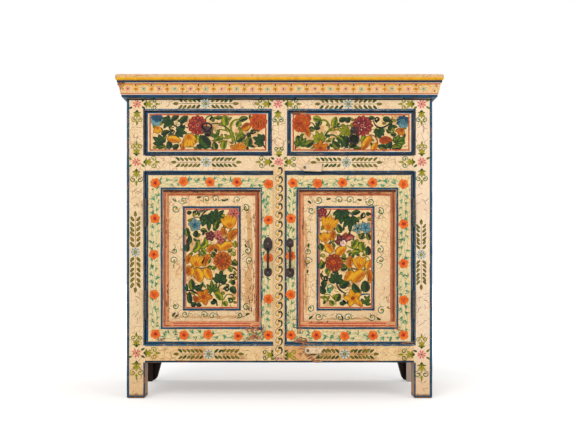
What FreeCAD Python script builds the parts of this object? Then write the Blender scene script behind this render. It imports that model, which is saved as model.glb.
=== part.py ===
import FreeCAD, Part
import math
import os

# A painted wooden cabinet that stands on the floor: four posts, two drawers side by side over two
# framed doors, a moulded cornice and a top board. Lengths are millimetres. +Z is up, the front
# faces -Y, and the origin is on the floor under the middle of the whole object.

# Whole cabinet
top_width = 897.0
top_depth = 406.0
cabinet_height = 889.0
front_overhang = 28.0
side_overhang = 28.0
rear_overhang = 3.0

# Heights of the legs, the rails and the drawer openings; the doors take what is left
leg_height = 99.0
bottom_rail_height = 50.0
middle_rail_height = 50.0
drawer_opening_height = 120.0
top_rail_height = 78.0

# Posts, rails and their joints
post_size = 50.0
foot_wear = 3.0
rail_thickness = 30.0
divider_width = 50.0
tenon_length = 30.0
tenon_thickness = 12.0
tenon_shoulder = 8.0
side_rail_thickness = 24.0
rear_rail_thickness = 24.0
rear_middle_rail_height = 22.0
rear_leg_width = 22.0
bracket_reach = 7.0
bracket_foot_width = 11.0
bracket_foot_height = 12.0
bracket_toe_width = 6.0
bracket_toe_height = 5.0
bracket_lift = 3.0

# Boards
board_clearance = 0.5
side_panel_thickness = 10.0
side_panel_recess = 8.0
groove_depth = 8.0
back_board_thickness = 10.0
back_board_recess = 2.0
back_board_count = 5
back_board_gap = 1.0
floor_thickness = 15.0
dust_board_thickness = 8.0
dust_board_drop = 20.0
shelf_thickness = 15.0
shelf_setback = 60.0
cleat_size = 18.0
cleat_height = 20.0

# Top board and cornice
top_thickness = 18.0
top_edge_radius = 7.0
fillet_height = 5.0
fillet_projection = 23.0
frieze_height = 32.0
frieze_top_projection = 21.0
frieze_bottom_projection = 14.0
bead_height = 6.5
bead_projection = 13.0

# Doors
door_thickness = 22.0
door_gap = 2.0
meeting_gap = 2.4
hinge_gap = 3.2
door_member_width = 46.0
door_meeting_width = 51.0
door_tenon_length = 26.0
door_tenon_thickness = 8.0
door_tenon_shoulder = 8.0
astragal_stand_off = 0.8
door_stop_gap = 0.4
head_stop_height = 12.0
head_stop_depth = 12.0
moulding_width = 15.0
moulding_top_depth = 1.5
panel_margin_depth = 12.0
panel_tongue_thickness = 6.0
panel_groove_depth = 8.0
panel_bevel_top_depth = 5.0
panel_field_depth = 3.0
panel_side_margin = 54.5
panel_end_margin = 45.0
panel_field_step = 2.0
panel_foot_gap = 0.5
right_field_shift = -4.5

# Astragal on the right door
astragal_width = 30.6
astragal_offset = -1.7
astragal_thickness = 10.0
astragal_drop = 37.0
astragal_rise = 20.0
astragal_edge = 3.0
astragal_round = 10.0

# Butt hinges
hinge_height = 74.0
upper_hinge_drop = 110.0
lower_hinge_rise = 107.0
hinge_leaf_thickness = 1.4
hinge_leaf_depth = 20.0
hinge_barrel_radius = 4.5
hinge_axis_stand_off = 5.6
hinge_pin_radius = 2.0
hinge_running_clearance = 0.05
hinge_knuckle_count = 5
hinge_knuckle_gap = 0.2
hinge_knuckle_relief = 0.3
hinge_finial_radius = 3.2
hinge_finial_lift = 1.2
hinge_screw_radius = 1.6
hinge_screw_head_radius = 3.4
hinge_screw_length = 14.0
hinge_screw_pitch = 25.0
hinge_screw_offset = 11.0

# Forged door pulls
pull_plate_thickness = 2.0
pull_grip_radius = 3.2
pull_grip_reach = 20.0
pull_grip_overlap = 6.0
pull_length = 110.0
left_pull_offset = (5.0, 4.0)
left_pull_upper = (24.0, 38.0)
left_pull_lower = (22.0, 24.0)
right_pull_offset = (2.2, 1.0)
right_pull_upper = (20.0, 26.0)
right_pull_lower = (24.0, 27.0)
nail_radius = 1.2
nail_length = 9.0
nail_head_radius = 2.6
nail_head_height = 1.6
plate_neck_share = 0.18
plate_belly_share = 0.38
plate_hip_shares = (0.42, 0.12)
plate_cheek_shares = (0.39, 0.8)
plate_nail_share = 0.5

# Drawers
drawer_gap = 2.0
drawer_recess = 6.0
drawer_front_thickness = 20.0
drawer_lift = 0.3
drawer_side_thickness = 12.0
drawer_side_height = 100.0
drawer_side_lap = 8.0
drawer_rear_room = 22.0
drawer_bottom_thickness = 6.0
drawer_bottom_rise = 10.0
drawer_bottom_groove = 6.0
runner_width = 25.0
guide_height = 25.0
guide_width = 20.0
guide_clearance = 0.5
kicker_height = 22.0
stop_gap = 0.4
stop_depth = 12.0
stop_height = 15.0

# Ring pulls on the drawers
ring_radius = 13.0
ring_wire_radius = 2.6
ring_drop = 27.0
ring_hub_radius = 4.8
ring_hub_length = 9.0
ring_neck_drop = 2.0
ring_raised_angle = 122.0
ring_pivot_stand_off = 9.0
ring_pin_radius = 1.8
ring_pin_clearance = 0.05
ring_lug_thickness = 2.6
ring_lug_radius = 4.4
ring_lug_gap = 0.3
ring_plate_radius = 9.5
ring_plate_thickness = 2.2
ring_stud_radius = 2.5
ring_nut_radius = 5.0
ring_nut_thickness = 4.0
ring_nut_sides = 6
left_ring_offset = (0.25, -2.0)
right_ring_offset = (7.25, 7.0)

# Wooden turn-buttons and their screws
button_stand_off = 1.8
button_thickness = 8.0
button_washer_thickness = 1.6
button_washer_radius = 5.0
button_running_clearance = 0.05
button_screw_radius = 2.2
button_screw_head_radius = 4.0
button_screw_head_height = 2.2
button_screw_grip = 0.2
button_screw_depth = 20.0
top_button_out = 69.0
top_button_rise = 12.3
top_button_length = 49.0
top_button_width = 19.0
top_button_tip_width = 22.0
top_button_tip_slant = 3.0
bottom_button_out = 77.7
bottom_button_drop = 16.2
bottom_button_length = 43.5
bottom_button_width = 17.6
bottom_button_tip_width = 16.0
bottom_button_tip_slant = 9.0

# Overrun of every through cut
overrun = 5.0

# Places that follow from the sizes
full_turn = 360.0
half_top_width = top_width / 2
body_width = top_width - 2 * side_overhang
body_depth = top_depth - front_overhang - rear_overhang
raised_ring_reach = (
    ring_pivot_stand_off
    - drawer_recess
    + (ring_drop + ring_radius) * math.sin(math.radians(ring_raised_angle))
    + ring_wire_radius
)
overall_depth = top_depth + max(0, raised_ring_reach - front_overhang)
rear_y = overall_depth / 2
top_front_y = rear_y - top_depth
frame_y = top_front_y + front_overhang
body_rear_y = frame_y + body_depth
half_body = body_width / 2
post_inner_x = half_body - post_size
post_rear_of_front_y = frame_y + post_size
post_front_of_rear_y = body_rear_y - post_size
rear_leg_inner_x = half_body - rear_leg_width
bottom_rail_top = leg_height + bottom_rail_height
top_underside = cabinet_height - top_thickness
drawer_opening_top = top_underside - top_rail_height
middle_rail_top = drawer_opening_top - drawer_opening_height
door_opening_top = middle_rail_top - middle_rail_height
door_opening_middle = (bottom_rail_top + door_opening_top) / 2
shelf_top = door_opening_middle + shelf_thickness
back_boards_y = body_rear_y - back_board_recess - back_board_thickness
rear_rail_y = back_boards_y - rear_rail_thickness
side_rail_inner_x = half_body - side_rail_thickness
side_panel_outer_x = half_body - side_panel_recess
side_panel_inner_x = side_panel_outer_x - side_panel_thickness
board_half_width = side_panel_inner_x - board_clearance
dust_board_top = middle_rail_top - dust_board_drop
dust_board_underside = dust_board_top - dust_board_thickness
runner_top = middle_rail_top + drawer_gap
drawer_z = runner_top + drawer_lift
drawer_front_height = drawer_opening_height - 2 * drawer_gap - drawer_lift
drawer_face_y = frame_y + drawer_recess
drawer_end_y = back_boards_y - drawer_rear_room
half_divider = divider_width / 2
drawer_middle_x = (half_divider + post_inner_x) / 2
drawer_middle_z = (middle_rail_top + drawer_opening_top) / 2
left_ring_pivot = (-drawer_middle_x - left_ring_offset[0], drawer_middle_z + left_ring_offset[1])
right_ring_pivot = (drawer_middle_x + right_ring_offset[0], drawer_middle_z + right_ring_offset[1])
hinge_axis_x = post_inner_x - hinge_gap / 2
hinge_axis_y = frame_y - hinge_axis_stand_off
left_door_face_y = frame_y
right_door_face_y = frame_y - astragal_stand_off
door_outer_x = post_inner_x - hinge_gap
door_inner_x = meeting_gap / 2
door_z0 = bottom_rail_top + door_gap
door_z1 = door_opening_top - door_gap
hinge_centres = (door_z1 - upper_hinge_drop, door_z0 + lower_hinge_rise)
astragal_bottom = door_z0 - astragal_drop
astragal_top = door_z1 + astragal_rise
stile_middle_x = door_inner_x + door_meeting_width / 2
left_pull_centre = (stile_middle_x + left_pull_offset[0], door_opening_middle + left_pull_offset[1])
right_pull_centre = (stile_middle_x + right_pull_offset[0], door_opening_middle + right_pull_offset[1])
top_button_pivot = (top_button_out, door_opening_top + top_button_rise)
bottom_button_pivot = (bottom_button_out, bottom_rail_top - bottom_button_drop)
axis_x = FreeCAD.Vector(1, 0, 0)
axis_y = FreeCAD.Vector(0, 1, 0)
axis_z = FreeCAD.Vector(0, 0, 1)
origin = FreeCAD.Vector(0, 0, 0)


def box(x0, x1, y0, y1, z0, z1):
    """A block between two corners."""
    return Part.makeBox(x1 - x0, y1 - y0, z1 - z0, FreeCAD.Vector(x0, y0, z0))


def cylinder(radius, length, start, direction):
    return Part.makeCylinder(radius, length, start, direction)


def prism_xz(points, y0, y1):
    """A polygon of (x, z) points, carried from y0 to y1."""
    corners = [FreeCAD.Vector(x, y0, z) for x, z in points]
    outline = Part.makePolygon(corners + corners[:1])
    return Part.Face(outline).extrude(FreeCAD.Vector(0, y1 - y0, 0))


def prism_xy(points, z0, z1):
    """A polygon of (x, y) points, carried from z0 to z1."""
    corners = [FreeCAD.Vector(x, y, z0) for x, y in points]
    outline = Part.makePolygon(corners + corners[:1])
    return Part.Face(outline).extrude(FreeCAD.Vector(0, 0, z1 - z0))


def solid_between(first, second):
    """The solid between two flat outlines of as many corners each, joined corner to corner."""
    faces = []
    for outline in (first, second):
        faces.append(Part.Face(Part.makePolygon(outline + outline[:1])))
    count = len(first)
    for index in range(count):
        following = (index + 1) % count
        corners = [first[index], first[following], second[following], second[index]]
        faces.append(Part.Face(Part.makePolygon(corners + corners[:1])))
    solid = Part.Solid(Part.Shell(faces))
    if solid.Volume < 0:
        solid.reverse()
    return solid


def mirrored(shape):
    """The same piece on the other side of the middle plane."""
    return shape.mirror(origin, axis_x)


def cut_all(shape, tools):
    """The shape less every tool in the list."""
    return shape.cut(list(tools)) if tools else shape


def fused(shapes):
    return shapes[0].fuse(shapes[1:]).removeSplitter()


def edges_where(shape, test):
    """The edges whose two ends and middle all pass a test on their place."""
    found = []
    for edge in shape.Edges:
        middle = edge.valueAt((edge.FirstParameter + edge.LastParameter) / 2)
        places = [vertex.Point for vertex in edge.Vertexes] + [middle]
        if all(test(place) for place in places):
            found.append(edge)
    return found


def write(node, shapes):
    """One STEP file for a node: a single solid, or a group of separate ones."""
    solids = []
    for shape in shapes:
        solids.extend(shape.Solids)
    piece = solids[0] if len(solids) == 1 else Part.makeCompound(solids)
    piece.exportStep(os.path.join("parts", node + ".step"))


# Posts, rails and panels of the carcase


def rail_along_x(x0, x1, y0, y1, z0, z1):
    """A rail between two posts, and the tenon at each of its ends."""
    middle_y = (y0 + y1) / 2
    tenons = []
    for start, end in ((x0 - tenon_length, x0), (x1, x1 + tenon_length)):
        tenons.append(
            box(
                start,
                end,
                middle_y - tenon_thickness / 2,
                middle_y + tenon_thickness / 2,
                z0 + tenon_shoulder,
                z1 - tenon_shoulder,
            )
        )
    return fused([box(x0, x1, y0, y1, z0, z1)] + tenons), tenons


def side_rail(z0, z1):
    """A rail on the right side, between the front post and the rear one, and its tenons."""
    middle_x = half_body - side_rail_thickness / 2
    spans = (
        (post_rear_of_front_y - tenon_length, post_rear_of_front_y),
        (post_front_of_rear_y, post_front_of_rear_y + tenon_length),
    )
    tenons = []
    for start, end in spans:
        tenons.append(
            box(
                middle_x - tenon_thickness / 2,
                middle_x + tenon_thickness / 2,
                start,
                end,
                z0 + tenon_shoulder,
                z1 - tenon_shoulder,
            )
        )
    rail = box(side_rail_inner_x, half_body, post_rear_of_front_y, post_front_of_rear_y, z0, z1)
    return fused([rail] + tenons), tenons


def side_panel():
    """The thin panel of the right side, which sits in grooves all round."""
    return box(
        side_panel_inner_x,
        side_panel_outer_x,
        post_rear_of_front_y - groove_depth,
        post_front_of_rear_y + groove_depth,
        bottom_rail_top - groove_depth,
        drawer_opening_top + groove_depth,
    )


def worn_foot(post):
    """The post with the edges of its foot worn off."""
    edges = edges_where(post, lambda place: abs(place.z) < board_clearance)
    return post.makeChamfer(foot_wear, edges)


def front_post():
    block = box(post_inner_x, half_body, frame_y, post_rear_of_front_y, 0, top_underside)
    return worn_foot(block)


def rear_post():
    """The rear post, which is narrow below the rear rail, where a bracket stands beside it."""
    block = box(post_inner_x, half_body, post_front_of_rear_y, body_rear_y, 0, top_underside)
    beside = box(
        post_inner_x - overrun,
        rear_leg_inner_x,
        post_front_of_rear_y - overrun,
        body_rear_y + overrun,
        -overrun,
        leg_height,
    )
    return worn_foot(block.cut(beside))


def rear_leg_bracket():
    """The slanted board beside the right rear leg, in line with the rear bottom rail."""
    return prism_xz(
        [
            (post_inner_x - bracket_reach, leg_height),
            (rear_leg_inner_x - bracket_foot_width, bracket_foot_height),
            (rear_leg_inner_x - bracket_toe_width, bracket_toe_height),
            (rear_leg_inner_x, bracket_lift),
            (rear_leg_inner_x, leg_height),
        ],
        rear_rail_y,
        back_boards_y,
    )


def post_clearances():
    """The room that a board leaves round the two posts on the right."""
    spans = (
        (frame_y - overrun, post_rear_of_front_y + board_clearance),
        (post_front_of_rear_y - board_clearance, body_rear_y + overrun),
    )
    inner = post_inner_x - board_clearance
    return [box(inner, half_body, y0, y1, 0, cabinet_height) for y0, y1 in spans]


def inside_board(y0, y1, z0, z1):
    """A board across the inside, notched round the posts."""
    notches = post_clearances()
    notches = notches + [mirrored(notch) for notch in notches]
    return cut_all(box(-board_half_width, board_half_width, y0, y1, z0, z1), notches)


def back_boards():
    """Upright planks nailed to the rear rails."""
    pitch = 2 * post_inner_x / back_board_count
    planks = []
    for index in range(back_board_count):
        x0 = -post_inner_x + index * pitch
        planks.append(
            box(
                x0 + back_board_gap / 2,
                x0 + pitch - back_board_gap / 2,
                back_boards_y,
                back_boards_y + back_board_thickness,
                leg_height,
                top_underside,
            )
        )
    return planks


# Cornice and top


def mitre_zones():
    """The room of the front strip and of the right one, parted on the mitre line."""
    reach = 2 * front_overhang
    front = prism_xy(
        [
            (-half_body, frame_y),
            (-half_body - reach, frame_y - reach),
            (half_body + reach, frame_y - reach),
            (half_body, frame_y),
        ],
        leg_height,
        top_underside,
    )
    right = prism_xy(
        [
            (half_body, frame_y),
            (half_body + reach, frame_y - reach),
            (half_body + reach, body_rear_y),
            (half_body, body_rear_y),
        ],
        leg_height,
        top_underside,
    )
    return front, right


def cornice_strips(section):
    """Front, right and left strips of one section, given as (projection, z) points or arcs."""
    reach = 2 * front_overhang
    front_zone, right_zone = mitre_zones()
    front_wire = section(lambda out, z: FreeCAD.Vector(-half_body - reach, frame_y - out, z))
    front = Part.Face(front_wire).extrude(FreeCAD.Vector(body_width + 2 * reach, 0, 0))
    side_wire = section(lambda out, z: FreeCAD.Vector(half_body + out, frame_y - reach, z))
    right = Part.Face(side_wire).extrude(FreeCAD.Vector(0, body_depth + reach, 0))
    front = front.common(front_zone)
    right = right.common(right_zone)
    return front, right, mirrored(right)


def frieze_section(at):
    """The sloped face that leans out towards the top."""
    top = top_underside - fillet_height
    bottom = top - frieze_height
    corners = [at(0, bottom), at(frieze_bottom_projection, bottom)]
    corners += [at(frieze_top_projection, top), at(0, top)]
    return Part.makePolygon(corners + corners[:1])


def fillet_section(at):
    """The flat strip under the top board."""
    top = top_underside
    bottom = top - fillet_height
    corners = [at(0, bottom), at(fillet_projection, bottom), at(fillet_projection, top), at(0, top)]
    return Part.makePolygon(corners + corners[:1])


def bead_section(at):
    """The round-nosed strip below the frieze."""
    top = top_underside - fillet_height - frieze_height
    bottom = top - bead_height
    flat = bead_projection - bead_height / 2
    middle = (top + bottom) / 2
    nose = Part.Arc(at(flat, bottom), at(bead_projection, middle), at(flat, top)).toShape()
    lower = Part.makeLine(at(0, bottom), at(flat, bottom))
    upper = Part.makeLine(at(flat, top), at(0, top))
    back = Part.makeLine(at(0, top), at(0, bottom))
    return Part.Wire([lower, nose, upper, back])


def top_board():
    """The top board, rounded over at its front and sides."""
    board = box(-half_top_width, half_top_width, top_front_y, rear_y, top_underside, cabinet_height)

    def on_rounded_edge(place):
        at_front = abs(place.y - top_front_y) < board_clearance
        at_side = abs(abs(place.x) - half_top_width) < board_clearance
        return at_front or at_side

    def is_upright_rear(edge):
        return all(abs(vertex.Point.y - rear_y) < board_clearance for vertex in edge.Vertexes)

    edges = edges_where(board, on_rounded_edge)
    edges = [edge for edge in edges if not is_upright_rear(edge)]
    return board.makeFillet(top_edge_radius, edges)


# Drawer runners and what keeps the drawers straight


def drawer_slides():
    """Runners, guides with their stops, and kickers."""
    front = frame_y + rail_thickness
    outer_runner = box(
        post_inner_x - runner_width, post_inner_x - guide_clearance, front, back_boards_y,
        dust_board_top, runner_top,
    )
    centre_half = half_divider + runner_width - guide_clearance
    centre_runner = box(-centre_half, centre_half, front, back_boards_y, dust_board_top, runner_top)
    outer_guide = box(
        post_inner_x, post_inner_x + guide_width, post_rear_of_front_y, post_front_of_rear_y,
        dust_board_top, runner_top + guide_height,
    )
    guide_half = half_divider - guide_clearance
    centre_guide = box(-guide_half, guide_half, front, back_boards_y, runner_top, runner_top + guide_height)
    kicker_top = drawer_opening_top + kicker_height
    outer_kicker = box(
        post_inner_x - runner_width, post_inner_x - guide_clearance, front, rear_rail_y,
        drawer_opening_top, kicker_top,
    )
    centre_kicker = box(-centre_half, centre_half, front, rear_rail_y, drawer_opening_top, kicker_top)
    stop_y = drawer_end_y + stop_gap
    stop_top = runner_top + stop_height
    stop_spans = (
        (half_divider, half_divider + drawer_side_thickness),
        (post_inner_x - runner_width, post_inner_x - drawer_side_thickness),
    )
    stops = [box(x0, x1, stop_y, stop_y + stop_depth, runner_top, stop_top) for x0, x1 in stop_spans]
    runners = [outer_runner, mirrored(outer_runner), centre_runner]
    guides = [outer_guide, mirrored(outer_guide), centre_guide]
    guides = guides + stops + [mirrored(stop) for stop in stops]
    kickers = [outer_kicker, mirrored(outer_kicker), centre_kicker]
    return runners, guides, kickers


def drawer(sign):
    """Front, sides, back and bottom of a drawer; sign is 1 for the right one and -1 for the left."""
    x0 = half_divider + drawer_gap
    x1 = post_inner_x - drawer_gap
    front_rear_y = drawer_face_y + drawer_front_thickness
    side_top = drawer_z + drawer_side_height
    front = box(x0, x1, drawer_face_y, front_rear_y, drawer_z, drawer_z + drawer_front_height)
    sides = []
    for side_x in (x0, x1 - drawer_side_thickness):
        sides.append(
            box(
                side_x,
                side_x + drawer_side_thickness,
                front_rear_y - drawer_side_lap,
                drawer_end_y,
                drawer_z,
                side_top,
            )
        )
    bottom_z = drawer_z + drawer_bottom_rise
    bottom = box(
        x0 + drawer_side_thickness - drawer_bottom_groove,
        x1 - drawer_side_thickness + drawer_bottom_groove,
        front_rear_y - drawer_bottom_groove,
        drawer_end_y,
        bottom_z,
        bottom_z + drawer_bottom_thickness,
    )
    back = box(
        x0 + drawer_side_thickness,
        x1 - drawer_side_thickness,
        drawer_end_y - drawer_side_thickness,
        drawer_end_y,
        bottom_z + drawer_bottom_thickness,
        side_top,
    )
    front = cut_all(front, sides + [bottom])
    sides = [side.cut(bottom) for side in sides]
    pieces = {"front": [front], "sides": sides, "back": [back], "bottom": [bottom]}
    if sign < 0:
        pieces = {name: [mirrored(shape) for shape in shapes] for name, shapes in pieces.items()}
    return pieces


# Ring pulls


def ring_pull_bracket(pivot):
    """Plate with two lugs and a stud through the drawer front, its cross pin and its nut."""
    x, z = pivot
    pivot_y = drawer_face_y - ring_pivot_stand_off
    outward = FreeCAD.Vector(0, -1, 0)
    plate = cylinder(ring_plate_radius, ring_plate_thickness, FreeCAD.Vector(x, drawer_face_y, z), outward)
    stud_end_y = drawer_face_y + drawer_front_thickness + ring_nut_thickness
    stud = cylinder(ring_stud_radius, stud_end_y - drawer_face_y, FreeCAD.Vector(x, drawer_face_y, z), axis_y)
    lug_x0 = ring_hub_length / 2 + ring_lug_gap
    lugs = []
    for start in (x + lug_x0, x - lug_x0 - ring_lug_thickness):
        eye = cylinder(ring_lug_radius, ring_lug_thickness, FreeCAD.Vector(start, pivot_y, z), axis_x)
        arm = box(
            start, start + ring_lug_thickness, pivot_y, drawer_face_y - ring_plate_thickness / 2,
            z - ring_lug_radius, z + ring_lug_radius,
        )
        lugs.extend([eye, arm])
    pin_half = lug_x0 + ring_lug_thickness
    pin = cylinder(ring_pin_radius, 2 * pin_half, FreeCAD.Vector(x - pin_half, pivot_y, z), axis_x)
    bracket = fused([plate, stud] + lugs).cut(pin)
    nut_start = FreeCAD.Vector(x, drawer_face_y + drawer_front_thickness, z)
    corners = []
    for index in range(ring_nut_sides + 1):
        angle = math.radians(full_turn / ring_nut_sides * index)
        offset = FreeCAD.Vector(math.cos(angle) * ring_nut_radius, 0, math.sin(angle) * ring_nut_radius)
        corners.append(nut_start + offset)
    nut = Part.Face(Part.makePolygon(corners)).extrude(FreeCAD.Vector(0, ring_nut_thickness, 0)).cut(stud)
    return [bracket, pin, nut], stud


def ring_pull(pivot, angle):
    """A pear-shaped ring under its hub, turned up by an angle from hanging."""
    x, z = pivot
    pivot_point = FreeCAD.Vector(x, drawer_face_y - ring_pivot_stand_off, z)
    centre = pivot_point - axis_z * ring_drop
    neck = pivot_point - axis_z * ring_neck_drop
    reach = ring_drop - ring_neck_drop
    half_angle = math.asin(ring_radius / reach)
    arm_length = math.sqrt(reach ** 2 - ring_radius ** 2)
    arms = []
    for side in (1, -1):
        direction = FreeCAD.Vector(side * math.sin(half_angle), 0, -math.cos(half_angle))
        arms.append(cylinder(ring_wire_radius, arm_length, neck, direction))
    start_direction = FreeCAD.Vector(math.sin(half_angle), 0, -math.cos(half_angle))
    start = neck + start_direction * arm_length
    section = Part.Face(Part.Wire(Part.Circle(start, start_direction, ring_wire_radius).toShape()))
    sweep = full_turn / 2 + 2 * math.degrees(half_angle)
    bow = section.revolve(centre, axis_y, sweep)
    hub_start = pivot_point - axis_x * (ring_hub_length / 2)
    hub = cylinder(ring_hub_radius, ring_hub_length, hub_start, axis_x)
    ring = fused([hub, bow] + arms)
    bore_start = hub_start - axis_x * overrun
    bore_length = ring_hub_length + 2 * overrun
    ring = ring.cut(cylinder(ring_pin_radius + ring_pin_clearance, bore_length, bore_start, axis_x))
    ring.rotate(pivot_point, axis_x, -angle)
    return ring


# Hinges


def screw_into(start, direction):
    """A countersunk screw whose head lies flush at its start."""
    cone_height = hinge_leaf_thickness
    head = Part.makeCone(hinge_screw_head_radius, hinge_screw_radius, cone_height, start, direction)
    shank = cylinder(hinge_screw_radius, hinge_screw_length, start, direction)
    return fused([head, shank])


def knuckle(z0, index, radius):
    """One knuckle of the barrel, or the room for it where the radius is larger."""
    pitch = hinge_height / hinge_knuckle_count
    relief = hinge_knuckle_gap / 2
    if radius > hinge_barrel_radius:
        relief = -relief
    start = FreeCAD.Vector(hinge_axis_x, hinge_axis_y, z0 + index * pitch + relief)
    return cylinder(radius, pitch - 2 * relief, start, axis_z)


def hinge(centre_z):
    """Right-hand butt hinge: frame leaf, door leaf, pin, and the screws of each leaf."""
    z0 = centre_z - hinge_height / 2
    z1 = centre_z + hinge_height / 2
    leaf_rear_y = frame_y + hinge_leaf_depth
    frame_plate = box(post_inner_x - hinge_leaf_thickness, post_inner_x, hinge_axis_y, leaf_rear_y, z0, z1)
    door_plate = box(door_outer_x, door_outer_x + hinge_leaf_thickness, hinge_axis_y, leaf_rear_y, z0, z1)
    wide = hinge_barrel_radius + hinge_knuckle_relief
    odd = range(1, hinge_knuckle_count, 2)
    even = range(0, hinge_knuckle_count, 2)
    bore_start = FreeCAD.Vector(hinge_axis_x, hinge_axis_y, z0 - overrun)
    bore = cylinder(
        hinge_pin_radius + hinge_running_clearance, hinge_height + 2 * overrun, bore_start, axis_z
    )
    frame_leaf = frame_plate.cut([knuckle(z0, index, wide) for index in odd])
    frame_leaf = fused([frame_leaf] + [knuckle(z0, index, hinge_barrel_radius) for index in even])
    door_leaf = door_plate.cut([knuckle(z0, index, wide) for index in even])
    door_leaf = fused([door_leaf] + [knuckle(z0, index, hinge_barrel_radius) for index in odd])
    pin = cylinder(hinge_pin_radius, hinge_height, FreeCAD.Vector(hinge_axis_x, hinge_axis_y, z0), axis_z)
    finials = []
    for end_z, way in ((z0, -1), (z1, 1)):
        centre = FreeCAD.Vector(hinge_axis_x, hinge_axis_y, end_z + way * hinge_finial_lift)
        finials.append(Part.makeSphere(hinge_finial_radius, centre))
    barrel = box(
        hinge_axis_x - wide, hinge_axis_x + wide, hinge_axis_y - wide, hinge_axis_y + wide, z0, z1
    )
    finials = [finial.cut(barrel) for finial in finials]
    frame_screws = []
    door_screws = []
    screw_y = frame_y + hinge_screw_offset
    for step in (-1, 0, 1):
        screw_z = centre_z + step * hinge_screw_pitch
        frame_start = FreeCAD.Vector(post_inner_x - hinge_leaf_thickness, screw_y, screw_z)
        door_start = FreeCAD.Vector(door_outer_x + hinge_leaf_thickness, screw_y, screw_z)
        frame_screws.append(screw_into(frame_start, axis_x))
        door_screws.append(screw_into(door_start, FreeCAD.Vector(-1, 0, 0)))
    return {
        "frame_leaf": cut_all(frame_leaf.cut(bore), frame_screws),
        "door_leaf": cut_all(door_leaf.cut(bore), door_screws),
        "pin": fused([pin] + finials),
        "frame_screws": frame_screws,
        "door_screws": door_screws,
    }


# Doors


def door_panel(x0, x1, z0, z1, face_y, field_shift):
    """The raised panel: a tongue all round, a sloped margin and a flat field."""
    tongue = box(
        x0 - panel_groove_depth,
        x1 + panel_groove_depth,
        face_y + panel_margin_depth,
        face_y + panel_margin_depth + panel_tongue_thickness,
        z0 - panel_groove_depth,
        z1 + panel_groove_depth,
    )
    centre_x = (x0 + x1) / 2
    centre_z = (z0 + z1) / 2

    def rectangle(half_width, half_height, depth, shift=0):
        corners = []
        for side, lift in ((-1, -1), (1, -1), (1, 1), (-1, 1)):
            place = (centre_x + shift + side * half_width, face_y + depth, centre_z + lift * half_height)
            corners.append(FreeCAD.Vector(*place))
        return corners

    foot_inset = moulding_width + panel_foot_gap
    foot = rectangle((x1 - x0) / 2 - foot_inset, (z1 - z0) / 2 - foot_inset, panel_margin_depth)
    half_width = (x1 - x0) / 2 - panel_side_margin
    half_height = (z1 - z0) / 2 - panel_end_margin
    brow = rectangle(
        half_width + panel_field_step, half_height + panel_field_step, panel_bevel_top_depth, field_shift
    )
    bevel = solid_between(foot, brow)
    field_x = centre_x + field_shift
    field = box(
        field_x - half_width, field_x + half_width, face_y + panel_field_depth,
        face_y + panel_margin_depth, centre_z - half_height, centre_z + half_height,
    )
    return fused([tongue, bevel, field])


def door_moulding(x0, x1, z0, z1, face_y):
    """Four mitred strips that slope from the door frame down to the panel."""
    section = (
        (0, moulding_top_depth),
        (moulding_width, panel_margin_depth - moulding_top_depth),
        (moulding_width, panel_margin_depth),
        (0, panel_margin_depth),
    )

    def mitre(corner_x, corner_z, side, lift):
        corners = []
        for inset, depth in section:
            corners.append(FreeCAD.Vector(corner_x + side * inset, face_y + depth, corner_z + lift * inset))
        return corners

    mitres = [mitre(x0, z0, 1, 1), mitre(x1, z0, -1, 1), mitre(x1, z1, -1, -1), mitre(x0, z1, 1, -1)]
    strips = []
    for index, first in enumerate(mitres):
        second = mitres[(index + 1) % len(mitres)]
        strips.append(solid_between(first, second))
    return strips


def pull_plate(x, z, width, height, face_y, way):
    """A spade-shaped plate from its neck at z to its tip, upwards or downwards."""

    def at(across, along):
        return FreeCAD.Vector(x + across * width, face_y, z + way * along * height)

    neck = plate_neck_share
    belly = plate_belly_share
    hip_x, hip_z = plate_hip_shares
    cheek_x, cheek_z = plate_cheek_shares
    edges = [
        Part.Arc(at(-neck, 0), at(-hip_x, hip_z), at(-1 / 2, belly)).toShape(),
        Part.Arc(at(-1 / 2, belly), at(-cheek_x, cheek_z), at(0, 1)).toShape(),
        Part.Arc(at(0, 1), at(cheek_x, cheek_z), at(1 / 2, belly)).toShape(),
        Part.Arc(at(1 / 2, belly), at(hip_x, hip_z), at(neck, 0)).toShape(),
        Part.makeLine(at(neck, 0), at(-neck, 0)),
    ]
    return Part.Face(Part.Wire(edges)).extrude(FreeCAD.Vector(0, -pull_plate_thickness, 0))


def nail(x, z, face_y):
    """A round-headed nail through a pull plate into the door."""
    head_y = face_y - pull_plate_thickness
    start = FreeCAD.Vector(x, head_y - nail_head_height, z)
    head = Part.makeCone(nail_radius, nail_head_radius, nail_head_height, start, axis_y)
    shank = cylinder(nail_radius, nail_head_height + pull_plate_thickness + nail_length, start, axis_y)
    return fused([head, shank])


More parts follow.
